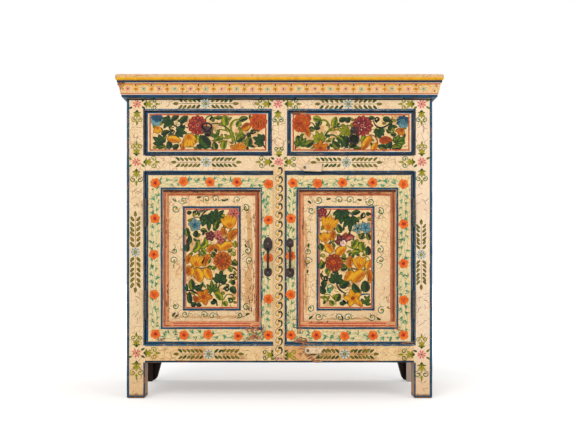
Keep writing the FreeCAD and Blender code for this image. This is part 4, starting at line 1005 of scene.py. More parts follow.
def streaks(s, x, y, wide, high):
    """Dirt and varnish that has run along an edge: thin broken strokes, mostly along it."""
    along, across = (90, 0) if high > wide else (0, 90)
    for _ in range(int(6 + 0.45 * max(wide, high))):
        start = x + hand.uniform(-0.5, 0.5) * wide, y + hand.uniform(-0.5, 0.5) * high
        if hand.random() < 0.75:
            length, a = hand.uniform(2.0, 6.0), along + hand.uniform(-12, 12)
        else:
            length, a = hand.uniform(1.0, 2.6), across + hand.uniform(-30, 30)
        middle = towards(*towards(*start, a, length / 2), a + 90, hand.uniform(-0.4, 0.4))
        points = [start, middle, towards(*start, a, length)]
        s.stroke(points, hand.uniform(0.35, 0.95), hand.choice(("stain", "stain", "umber", "chip")), 1, leafy)


def crackle(s, low, high, count):
    """Thin dark cracks that fork, as old paint has where the wood has moved."""
    for _ in range(count):
        x, y = hand.uniform(low[0], high[0]), hand.uniform(low[1], high[1])
        a = hand.choice((0, 90, 90, 180)) + hand.uniform(-25, 25)
        points = [(x, y)]
        for _ in range(hand.choice((2, 3, 4))):
            a += hand.uniform(-45, 45)
            points.append(towards(*points[-1], a, hand.uniform(1.2, 2.6)))
        inside = [p for p in points if low[0] <= p[0] <= high[0] and low[1] <= p[1] <= high[1]]
        if len(inside) > 2:
            s.stroke(inside, hand.uniform(0.28, 0.45), hand.choice(("stain", "umber", "stain")), 0, swelling)


def worn_patch(s, x, y, wide, high, turn, layer=1):
    """Paint that has come away: a ragged run of small bare spots, darker in the middle."""
    for k in range(max(5, int(5 + wide * high * 0.42))):
        a, far = math.radians(hand.uniform(0, 360)), math.sqrt(hand.random())
        u, v = 0.5 * wide * far * math.cos(a), 0.5 * high * far * math.sin(a)
        spot = towards(*towards(x, y, turn, u), turn + 90, v)
        size = hand.uniform(0.08, 0.2) * min(wide, high) + 0.2
        inner = far < 0.6
        squash, lean = hand.uniform(0.35, 0.8), turn + hand.uniform(-40, 40)
        paint = "bare" if inner and k % 2 else "chip"
        size *= 1.25 - 0.5 * far
        s.round(*spot, size, paint, layer + inner, squash, lean, hand.choice((5, 6, 7)), 0.35)


LEFT, RIGHT, UP, DOWN = 180, 0, 90, 270
CROSSINGS = (
    (137.0, 104.0, ((RIGHT, 1.04), (DOWN, 0.96))),
    (136.5, 162.0, ((RIGHT, 1.06), (DOWN, 1.08), (UP, 0.95))),
    (136.5, 353.0, ((RIGHT, 1.08), (DOWN, 1.2), (UP, 0.93))),
    (278.0, 104.0, ((LEFT, 1.06), (RIGHT, 1.06), (DOWN, 0.98))),
    (279.0, 162.0, ((LEFT, 1.06), (RIGHT, 0.9), (UP, 0.8))), (279.5, 355.0, ((LEFT, 0.88), (RIGHT, 0.88))),
    (421.5, 104.0, ((LEFT, 1.06), (DOWN, 0.96))), (421.8, 162.0, ((LEFT, 1.04), (DOWN, 1.02), (UP, 0.93))),
    (421.6, 354.5, ((LEFT, 1.06), (DOWN, 1.2), (UP, 0.93))),
)
GARLANDS = (
    (205.8, 103.6, 32.0, 0, 5), (348.4, 104.0, 33.0, 0, 5), (206.2, 162.2, 34.5, 0, 6),
    (346.4, 162.4, 35.0, 0, 6), (208.6, 354.0, 34.5, 0, 6), (344.6, 354.0, 33.5, 0, 6),
    (135.4, 252.0, 40.0, 90, 6), (421.2, 254.6, 34.6, 90, 6),
)
LOW_STAINS = (
    (160.0, 349.5, 10.0), (236.0, 358.6, 14.0), (262.0, 346.6, 8.0), (296.0, 349.0, 8.0),
    (312.0, 361.0, 12.0), (366.0, 359.4, 16.0), (176.0, 360.4, 12.0),
)
FRAME_CHIPS = (
    (303.0, 346.5, 4.5, 4.0, 10), (304.5, 351.5, 5.0, 8.0, 0), (309.5, 357.0, 8.0, 5.5, 20),
    (315.0, 360.0, 8.0, 4.5, 0), (300.5, 354.5, 4.0, 5.0, 40), (128.2, 118.0, 2.2, 9.0, 0),
    (128.0, 141.0, 2.0, 7.0, 0), (128.1, 186.0, 1.9, 9.0, 0), (430.8, 131.0, 2.0, 8.0, 0),
    (430.9, 305.0, 2.0, 11.0, 0), (128.0, 331.0, 2.0, 10.0, 0), (144.4, 381.0, 2.2, 9.0, 0),
)
FRAME_CRACKS = (
    ((131.0, 115.0), (142.5, 150.0), 22), ((131.0, 178.0), (142.5, 210.0), 14),
    ((272.0, 116.0), (287.0, 152.0), 22), ((415.0, 116.0), (428.5, 152.0), 20),
    ((415.0, 176.0), (428.5, 212.0), 12), ((158.0, 98.5), (178.0, 108.5), 8),
    ((240.0, 98.5), (262.0, 108.5), 8), ((158.0, 157.0), (172.0, 168.0), 8),
    ((380.0, 157.0), (406.0, 168.0), 10), ((160.0, 348.0), (268.0, 361.0), 26),
    ((292.0, 348.0), (400.0, 361.0), 26), ((131.0, 290.0), (142.0, 340.0), 16),
    ((416.0, 292.0), (428.5, 340.0), 16), ((131.0, 366.0), (142.0, 395.0), 10),
    ((416.0, 366.0), (428.5, 395.0), 10),
)


def paint_frame():
    s = Sheet("frame_painting", "carcase", "cream_paint", flat(FRAME_Y), FRAME_Y)
    for side in (-1, 1):
        outer, inner = ("l", "r") if side < 0 else ("r", "l")

        def strip(x0, x1, z0, z1, width, paint, edge):
            x0, x1 = sorted((side * x0, side * x1))
            s.frame(x0, x1, z0, z1, width, paint, 0, edge)

        strip(POST_X - 7.0, POST_X, POST_FOOT, POST_HEAD, 6.8, "bright_blue", outer)
        drawer_low, drawer_high = MIDDLE_RAIL[1] - LINE_LAP, TOP_RAIL_LOW + 5.0
        for z0, z1, paint in (
            (POST_FOOT, BOTTOM_RAIL[0], "blue"),
            (BOTTOM_RAIL[1] - LINE_LAP, MIDDLE_RAIL[0] + LINE_LAP, "blue"),
            (drawer_low, drawer_high, "navy"),
        ):
            strip(POST_INNER, POST_INNER + 4.8, z0, z1, 4.8, paint, inner)
        strip(DIVIDER_INNER, DIVIDER_OUTER, drawer_low, drawer_high, 4.4, "blue", outer)
        strip(DIVIDER_INNER, POST_INNER, TOP_RAIL_LOW, drawer_high, 5.0, "navy_worn", "b")
        strip(DIVIDER_INNER, POST_INNER, drawer_low, MIDDLE_RAIL[1], 5.0, "navy", "t")
        strip(POST_INNER, POST_X, POST_FOOT, POST_FOOT + 8.0, 3.8, "blue", "b")
    s.frame(-POST_INNER, POST_INNER, *MIDDLE_RAIL, 4.6, "blue", 0, "b")
    s.frame(-POST_INNER, POST_INNER, *BOTTOM_RAIL, 4.8, "navy_worn", 0, "t")
    s.frame(-POST_INNER, POST_INNER, *BOTTOM_RAIL, 5.0, "navy", 0, "b")
    for x, y, arms in CROSSINGS:
        crossing(s, x, y, arms)
    for row in GARLANDS:
        garland(s, *row)
    # A near-black line along the top of the frame, under the cornice bead, is painted shadow
    s.frame(-POST_X, POST_X, POST_FOOT, POST_HEAD - 0.1, 4.4, "cornice_shadow", 2, "t")
    for chip in FRAME_CHIPS:
        worn_patch(s, *chip)
    for low, high, count in FRAME_CRACKS:
        crackle(s, low, high, count)
    for x, y, length in LOW_STAINS:
        for paint in ("chip", "stain", "dusk"):
            px, py = x + hand.uniform(-2, 2), y + hand.uniform(-1.6, 1.6)
            middle = px + 0.5 * length, py + hand.uniform(-0.8, 0.8)
            end = px + length * hand.uniform(0.7, 1.0), py + hand.uniform(-0.6, 0.6)
            s.stroke([(px, py), middle, end], hand.uniform(0.3, 0.7), paint, 0, swelling)
    s.build()


# The frieze: two red lines, and flowers under a row of scallops

FRIEZE_FIRST, FRIEZE_PITCH, FRIEZE_COUNT = 128.0, 15.55, 20
FRIEZE_FLOWERS, FRIEZE_SCALLOPS, FRIEZE_BEADS, FRIEZE_BUDS = 88.8, 84.5, 85.1, 88.2
BUD_LEAVES = ((180, 3.0, 1.1), (0, 3.0, 1.1), (222, 3.2, 1.3), (318, 3.2, 1.3), (270, 4.4, 1.3))
FRIEZE_CHIPS = (
    (120.8, 84.6, 4.0, 8.0, 72), (123.0, 83.2, 5.0, 3.0, 0), (121.8, 88.6, 2.6, 4.4, 72),
    (436.6, 85.8, 2.0, 2.6, 0), (434.6, 91.0, 1.6, 2.6, 0), (318.0, 92.6, 4.5, 1.0, 0),
)


def paint_frieze():
    s = Sheet("frieze_painting", "carcase", "red_paint", frieze_relief, FRAME_Y - 18.0)
    half_top, half_low = POST_X + 20.0, POST_X + 13.5
    s.line(s.mm(11.0 - half_top, 862.2), s.mm(half_top - 2.0, 862.2), 1.1, "lines", 1)
    s.line(s.mm(11.0 - half_top, 865.0), s.mm(half_top - 1.0, 865.0), 0.9, "white", 0)
    s.level(half_low, 836.8, 0.9, "brick")
    s.level(half_low, 834.8, 0.7, "pale_pink")
    for k in range(FRIEZE_COUNT):
        x = FRIEZE_FIRST + FRIEZE_PITCH * k + hand.uniform(-0.6, 0.6)
        y = FRIEZE_FLOWERS + hand.uniform(-0.35, 0.35)
        petals, eye = ("sea", "teal_leaf") if k % 2 else ("rose_pink", "wine")
        for i, angle in enumerate(around(7)):
            a = angle + hand.uniform(-10, 10)
            s.ray(x, y, a, 0.6, hand.uniform(2.3, 2.9), 1.25, petals, i % 2, petal)
        s.round(x, y, 0.75, eye, 3)
        s.round(x + 0.2, y + 0.1, 0.4, "black", 4, n=8)
        left, right = x - FRIEZE_PITCH / 2, x + FRIEZE_PITCH / 2
        bow = ((left + 0.2, 2.5), (x - 4.6, 0.7), (x, 0.0), (x + 4.6, 0.7), (right - 0.2, 2.5))
        s.stroke([(px, FRIEZE_SCALLOPS + drop) for px, drop in bow], 1.0, "lemon", 1)
        if k < FRIEZE_COUNT - 1:
            s.round(right, FRIEZE_BEADS, 0.85, "black", 3, 0.9)
            for turn, length, width in BUD_LEAVES:
                a = turn + hand.uniform(-6, 6)
                paint = "lemon" if turn in (0, 180) else "gold"
                s.ray(right, FRIEZE_BUDS, a, 0.0, length, width, paint)
            s.stroke([(right, 87.0), (right, 89.2)], 0.5, "gold", 2)
            s.round(right, 89.0, 0.85, "orange", 4, 0.8)
    for chip in FRIEZE_CHIPS:
        for _ in range(2):
            worn_patch(s, *chip, 3)
    s.build()


# The cover strip: a running scroll with dots

STRIP_PX, STRIP_FIRST, STRIP_PITCH, STRIP_COUNT = 280.2, 171.2, 8.98, 21
SCROLL_BODY = ((-1.9, -2.5), (0.6, -3.2), (1.9, -0.9), (1.3, 1.9), (-0.6, 3.6))
SCROLL_LIGHT = ((-1.5, -2.7), (0.7, -2.7), (1.3, -0.6))
SCROLL_STEM = ((1.5, 1.6), (-0.4, 3.6), (-2.8, 4.6), (-4.2, 6.3), (-4.5, 8.2), (-3.2, 9.8), (-1.2, 10.4))


def paint_strip():
    s = Sheet("strip_painting", "right_door", "cream_paint", strip_relief, -177.0, 0.3)
    for k in range(STRIP_COUNT):
        y = STRIP_FIRST + STRIP_PITCH * k
        x = STRIP_PX + hand.uniform(-0.25, 0.25)
        for path, width, paint, layer, profile in (
            (SCROLL_BODY, 2.3, "ink_green", 2, comma), (SCROLL_LIGHT, 0.7, "olive", 4, comma),
            (SCROLL_STEM, 0.55, "stem", 1, even),
        ):
            s.stroke([(x + px, y + py) for px, py in path], width, paint, layer, profile)
        s.round(x - 1.9, y - 0.1, 1.15, "yellow", 2, lobes=5, depth=0.2)
        s.round(x - 1.9, y - 0.1, 0.6, "gold", 3)
        s.round(x + 0.9 + hand.uniform(-0.3, 0.3), y + 4.7, 0.85, "yellow", 1, lobes=5, depth=0.2)
        s.round(x - 4.3, y + 3.4, 0.75, "yellow", 1, lobes=5, depth=0.2)
    s.build()


# The doors

def border_flower(s, x, y, red):
    turn = hand.uniform(0, 72)
    s.bloom(x, y, 4.7, "tangerine", "brick", None, 5, turn)
    for k, angle in enumerate(around(10, turn)):
        a = angle + hand.uniform(-6, 6)
        s.ray(x, y, a, 1.0, hand.uniform(2.2, 3.4), 0.7, "flame" if k % 2 else "heart", 4)
    s.round(x, y, 1.35 if red else 1.0, "heart" if red else "flame", 5, lobes=5)


def bunch(s, x, y, angle, count):
    """Thin brush strokes that spread from one point, as they fill the border between its flowers."""
    for k in range(count):
        a = angle + (k - (count - 1) / 2) * hand.uniform(15, 24) + hand.uniform(-6, 6)
        length = hand.uniform(4.0, 6.8)
        side = 1 if a > angle else -1
        paint = hand.choice(("teal_leaf", "teal_leaf", "teal_leaf", "fern", "vine"))
        foot = towards(x, y, a, hand.uniform(0.2, 1.6))
        middle = towards(*towards(x, y, a, length * 0.5), a - 90 * side, 0.4)
        s.stroke([foot, middle, towards(x, y, a, length)], hand.uniform(0.7, 1.1), paint, 2, leafy)


def vine(s, a, b, swing):
    """A washed band of thin wavy lines and bunches of strokes from one border flower to the next."""
    length = math.hypot(b[0] - a[0], b[1] - a[1])
    angle = math.degrees(math.atan2(a[1] - b[1], b[0] - a[0]))

    def at(t, off):
        return towards(a[0] + (b[0] - a[0]) * t, a[1] + (b[1] - a[1]) * t, angle + 90, off)

    for off in (-2.9, 0.0, 2.9):
        points = [at(t / 5, off + hand.uniform(-0.6, 0.6)) for t in range(6)]
        s.stroke(points, hand.uniform(1.2, 2.2), "veil", 0, swelling)
    for off, phase in ((-3.2, 0.0), (-1.1, 2.0), (1.2, 4.0), (3.2, 1.0)):
        points = [at(t / 9, off + 0.8 * swing * math.sin(phase + 1.4 * t)) for t in range(10)]
        s.stroke(points, 0.45, "vine", 1)
    steps = max(2, int(length / 3.9))
    for k in range(1, steps + 1):
        t = (k - 0.15) / (steps + 0.7)
        side = 1 if k % 2 else -1
        spot = at(t, side * hand.uniform(0.2, 1.6))
        lean = angle + side * hand.uniform(20, 60) + (180 if hand.random() < 0.25 else 0)
        bunch(s, *spot, lean, hand.choice((3, 3, 4)))
        if hand.random() < 0.4:
            path = [at(t, -side * 1.6), at(t + 0.03, -side * hand.uniform(2.6, 3.6))]
            s.stroke(path, 1.1, hand.choice(("lime", "moss", "fern")), 2, leafy)
        if hand.random() < 0.25:
            s.round(*at(t, -side * 3.4), 0.6, "brick", 1)


def eddy(s, x, y, radius, start, way, width, tail):
    """A small green scroll round a yellow dot."""
    s.round(x, y, radius * 0.8, "white", 0)
    s.curl(x, y, radius * 1.15, start, 1.05, width * 1.35, "fern", tail, way, 0.7)
    s.round(x + 0.2, y + 0.2, radius * 0.34, "lemon", 2)
    s.round(x + 0.2, y + 0.2, radius * 0.16, "orange", 3, n=8)


# What is painted on each door, in photograph pixels: flowers and scrolls by their middles, and the wear

LEFT_DETAILS = dict(
    blooms=(
        (155.5, 183.0), (183.5, 181.5), (210.0, 182.0), (237.0, 182.0), (268.5, 184.0), (268.3, 220.0),
        (268.3, 258.0), (268.3, 299.0), (268.3, 335.0), (238.0, 336.0), (208.0, 334.5), (184.0, 335.0),
        (155.5, 334.0), (154.3, 294.5), (153.8, 254.5), (155.0, 218.5),
    ),
    eddies=(
        (175.7, 208.8, 3.3, 330, 1, 1.25, ()), (183.1, 200.4, 3.7, 200, -1, 0.8, ((186.6, 203.4),)),
        (206.5, 199.0, 2.9, 150, 1, 0.9, ((203.8, 201.2), (200.2, 200.2))),
        (215.4, 198.6, 2.9, 30, -1, 0.9, ((218.4, 201.0), (222.6, 199.0))),
        (237.2, 199.6, 3.2, 210, 1, 0.8, ((233.6, 202.0),)),
        (246.0, 208.0, 3.3, 100, 1, 1.2, ((248.6, 211.4),)),
        (174.8, 250.8, 2.4, 200, -1, 0.9, ((175.6, 247.0), (173.6, 244.2))),
        (173.5, 260.2, 3.2, 20, -1, 0.9, ((173.4, 264.6), (174.4, 268.8))),
        (247.6, 250.6, 3.2, 60, 1, 1.0, ((249.4, 246.6), (248.0, 243.2))),
        (249.4, 260.2, 3.0, 200, 1, 0.9, ((247.4, 264.2), (248.8, 268.6))),
        (175.5, 306.2, 2.8, 40, 1, 1.2, ()),
        (185.2, 314.2, 2.9, 300, 1, 0.8, ((189.0, 313.2), (193.0, 314.4))),
        (204.6, 314.6, 2.9, 120, 1, 0.9, ((201.2, 316.4), (197.0, 314.6))),
        (212.4, 315.8, 2.9, 60, -1, 0.9, ((216.0, 314.2), (219.6, 316.4))),
        (246.4, 307.0, 2.9, 120, -1, 1.1, ((248.6, 303.8),)),
        (239.6, 315.2, 2.6, 240, -1, 1.0, ((244.0, 316.4), (247.8, 314.2))),
    ),
    leaves=(
        (174.4, 200.2, 4.2, 1.4, 322), (199.0, 197.6, 4.0, 1.2, 10), (223.6, 200.8, 3.6, 1.2, 350),
        (177.0, 316.0, 4.4, 1.3, 40), (174.2, 314.6, 4.6, 1.5, 52), (246.0, 245.6, 3.4, 1.1, 110),
        (247.6, 314.4, 3.8, 1.6, 20), (226.6, 199.4, 3.2, 1.1, 190),
    ),
    washes=(
        (((248.6, 206.0), (250.2, 262.0), (248.4, 316.0)), 6.0),
        (((246.0, 270.0), (246.8, 292.0), (245.6, 314.0)), 4.0),
        (((172.0, 316.6), (206.0, 317.4), (246.0, 316.4)), 2.4),
    ),
    stains=(
        (168.0, 297.0, 2.0, 25.0), (166.8, 312.0, 2.4, 12.0), (172.0, 191.6, 22.0, 2.2),
        (254.6, 226.0, 2.4, 26.0), (253.4, 284.0, 4.4, 40.0), (255.6, 308.0, 3.4, 22.0),
        (166.4, 236.0, 1.4, 30.0), (250.0, 300.0, 3.0, 26.0), (212.0, 192.0, 60.0, 1.4),
    ),
    chips=(
        (250.0, 329.5, 12.0, 5.0, 10), (254.5, 336.0, 12.0, 8.0, -10), (247.5, 338.8, 10.0, 4.0, 0),
        (257.6, 329.5, 5.0, 3.0, 0), (262.6, 333.0, 4.0, 9.0, 0), (160.0, 339.8, 6.0, 2.4, 0),
    ),
    cracks=(
        ((241.5, 204.0), (252.5, 316.0), 70), ((167.5, 204.0), (180.5, 312.0), 18),
        ((172.0, 195.0), (248.0, 203.5), 16), ((172.0, 311.5), (248.0, 319.5), 22),
        ((262.0, 284.0), (271.0, 330.0), 12),
    ),
)
RIGHT_DETAILS = dict(
    blooms=(
        (293.0, 183.0), (317.5, 183.5), (342.5, 182.5), (372.5, 182.5), (403.5, 184.0), (403.5, 224.0),
        (403.5, 263.5), (403.5, 300.0), (403.5, 335.0), (373.0, 335.5), (344.5, 336.0), (316.5, 335.0),
        (291.0, 335.0), (290.6, 294.5), (290.6, 256.0), (291.0, 218.5),
    ),
    eddies=(
        (318.5, 199.9, 3.8, 210, -1, 0.9, ((322.4, 202.6),)), (311.4, 210.4, 3.1, 330, 1, 1.1, ()),
        (339.4, 199.9, 3.3, 150, 1, 0.95, ((336.0, 202.2), (331.6, 200.6))),
        (349.7, 199.9, 3.3, 30, -1, 0.95, ((353.2, 202.4), (357.4, 200.4))),
        (370.3, 201.7, 3.9, 190, -1, 0.95, ((373.6, 206.0), (377.4, 204.8))),
        (380.6, 211.2, 3.2, 100, 1, 1.1, ((382.4, 214.8),)),
        (308.4, 251.4, 2.7, 200, -1, 0.95, ((309.4, 247.4),)),
        (307.6, 261.2, 3.9, 20, -1, 0.95, ((306.2, 265.4), (308.7, 268.0))),
        (380.1, 249.5, 3.2, 60, 1, 0.95, ((382.2, 245.8),)),
        (380.6, 260.0, 3.5, 200, 1, 0.95, ((382.4, 264.2), (380.4, 268.0))),
        (310.4, 308.4, 3.2, 40, 1, 1.1, ()),
        (318.8, 316.6, 3.3, 300, 1, 0.9, ((322.8, 315.2), (326.6, 316.8))),
        (339.6, 317.4, 3.3, 120, 1, 0.95, ((336.0, 319.0), (331.4, 317.4))),
        (347.8, 317.4, 3.3, 60, -1, 0.95, ((351.6, 319.0), (356.2, 317.4))),
        (381.4, 310.4, 3.3, 120, -1, 1.1, ((383.6, 306.8),)),
        (372.0, 317.2, 3.2, 240, -1, 0.95, ((368.2, 318.8), (364.2, 317.0))),
    ),
    leaves=(
        (308.8, 245.4, 3.8, 1.3, 80), (309.4, 202.4, 4.2, 1.3, 320), (328.6, 199.4, 4.0, 1.2, 10),
        (359.6, 199.6, 4.0, 1.2, 170), (378.6, 241.8, 3.6, 1.2, 100), (311.0, 317.8, 4.4, 1.4, 42),
        (378.8, 318.6, 4.2, 1.3, 150), (307.2, 271.4, 3.4, 1.1, 260),
    ),
    washes=(
        (((305.4, 222.0), (306.2, 262.0), (305.6, 316.0)), 3.6),
        (((312.0, 318.4), (340.0, 319.0), (380.0, 318.2)), 1.6),
    ),
    stains=(
        (304.4, 282.0, 2.6, 50.0), (306.0, 263.0, 2.0, 12.0), (388.0, 303.0, 2.2, 13.0),
        (345.0, 193.0, 70.0, 1.6), (303.2, 222.0, 1.8, 30.0), (322.0, 322.6, 26.0, 1.4),
    ),
    chips=(
        (300.5, 340.0, 12.0, 5.5, 0), (304.8, 342.3, 8.0, 3.6, 0), (295.0, 338.8, 8.0, 3.6, 15),
        (397.5, 328.5, 6.0, 4.0, 20), (404.5, 343.0, 6.0, 2.4, 0), (299.6, 331.6, 5.0, 6.0, 60),
    ),
    cracks=(
        ((304.5, 204.0), (313.0, 316.0), 30), ((378.0, 204.0), (388.0, 316.0), 14),
        ((308.0, 195.0), (384.0, 203.5), 14), ((308.0, 313.0), (384.0, 321.0), 22),
        ((286.0, 290.0), (297.0, 330.0), 10),
    ),
)
PAINT_RUN = ((341.4, 315.8), (342.6, 317.6), (342.6, 319.6), (341.8, 322.0))


# Left of the cover strip the border's vine runs a little further in than its flowers

BESIDE_STRIP_PX, VINE_ASIDE = 262.0, 2.5


def paint_door(side):
    """The lines, the border of flowers and the small scrolls of one door; its field is painted apart."""
    left = side < 0
    name = "left_door" if left else "right_door"
    face = LEFT_DOOR_Y if left else RIGHT_DOOR_Y
    shift = 0.0 if left else RIGHT_FIELD_SHIFT
    details = LEFT_DETAILS if left else RIGHT_DETAILS
    s = Sheet(name + "_painting", name, "blue_paint", door_relief(face, shift), face)

    def span(a, b):
        return tuple(sorted((side * a, side * b)))

    x0, x1 = (-DOOR_OUT, LEFT_DOOR_EDGE) if left else (RIGHT_DOOR_EDGE, DOOR_OUT)
    s.frame(x0, x1, DOOR_LOW, DOOR_HIGH, 6.0, "blue", 0, "ltb" if left else "lrtb")
    s.frame(x0, x1, DOOR_HIGH - 9.0, DOOR_HIGH, 4.5, "navy", 1, "t")
    x0, x1 = span(OPEN_IN - 6.2, OPEN_OUT + 6.2)
    s.frame(x0, x1, OPEN_LOW - 6.2, OPEN_HIGH + 6.2, 5.6, "bright_blue" if left else "blue", 0)
    x0, x1 = span(OPEN_IN, OPEN_OUT)

    def inner(inset, width, paint, layer, sides):
        s.frame(x0 + inset, x1 - inset, OPEN_LOW + inset, OPEN_HIGH - inset, width, paint, layer, sides)

    # The moulding's sides are toned for the light: the wide pale tan wash on the bottom side, which faces up,
    # is painted light; the red lines over it are the moulding's own paint
    inner(3.0, 11.0, "tan_wash", 0, "b")
    inner(2.0, 3.2, "lines", 1, "b")
    inner(8.2, 3.2, "lines", 1, "b")
    inner(7.4, 4.4, "tan_wash", 0, "l")
    inner(2.8, 4.4, "brick", 1, "l")
    inner(4.6 if left else 1.0, 1.4, "umber", 2, "l")
    inner(1.4, 2.6, "tan_wash", 0, "r")
    # On the right side, which faces away from the light, the russet band and the umber line are painted
    # shade; the brick line is the moulding's own paint
    inner(3.6, 6.6, "shaded_russet", 1, "r")
    inner(4.6, 1.8, "umber", 2, "r")
    inner(10.4, 3.2, "brick", 1, "r")
    s.frame(x0 + 3.0, x1 - 3.0, OPEN_LOW, OPEN_HIGH + 1.8, 3.2, "bright_blue", 1, "t")
    # Along the top side, which faces down, the umber band is painted shadow; the red line under it is the
    # moulding's own paint
    inner(0.5, 5.4, "umber", 1, "t")
    inner(12.2, 2.4, "lines", 1, "t")
    for path, width in details["washes"]:
        wash(s, path, width)
    for row in details["stains"]:
        streaks(s, *row)
    x0, x1 = span(FIELD_IN + shift, FIELD_OUT + shift)
    s.frame(x0 + 0.2, x1 - 0.2, FIELD_LOW + 0.2, FIELD_HIGH - 0.2, 5.8, "blue", 1)
    s.frame(x0 + 6.8, x1 - 6.8, FIELD_LOW + 6.8, FIELD_HIGH - 6.8, 3.2, "lines", 1)
    blooms = details["blooms"]
    for k, place in enumerate(blooms):
        following = blooms[(k + 1) % len(blooms)]
        if left and min(place[0], following[0]) > BESIDE_STRIP_PX:
            vine(s, (place[0] - VINE_ASIDE, place[1]), (following[0] - VINE_ASIDE, following[1]), -1)
        else:
            vine(s, place, following, 1 if k % 2 else -1)
    for k, (x, y) in enumerate(blooms):
        border_flower(s, x, y, k % 3 != 1)
    for row in details["eddies"]:
        eddy(s, *row)
    for row in details["leaves"]:
        s.leaf(*row)
    for x, y, wide, high, turn in details["chips"]:
        worn_patch(s, x, y, wide, high, turn)
        streaks(s, x, y, wide * 1.3, high * 1.2)
    for low, high, count in details["cracks"]:
        crackle(s, low, high, count)
    if not left:
        s.stroke(PAINT_RUN, 1.9, "navy", 3, comma)
    s.build()


# The painted fields of the doors and drawers
# Each row is a motif: its kind, its middle in the photograph, its size, its lean, its look

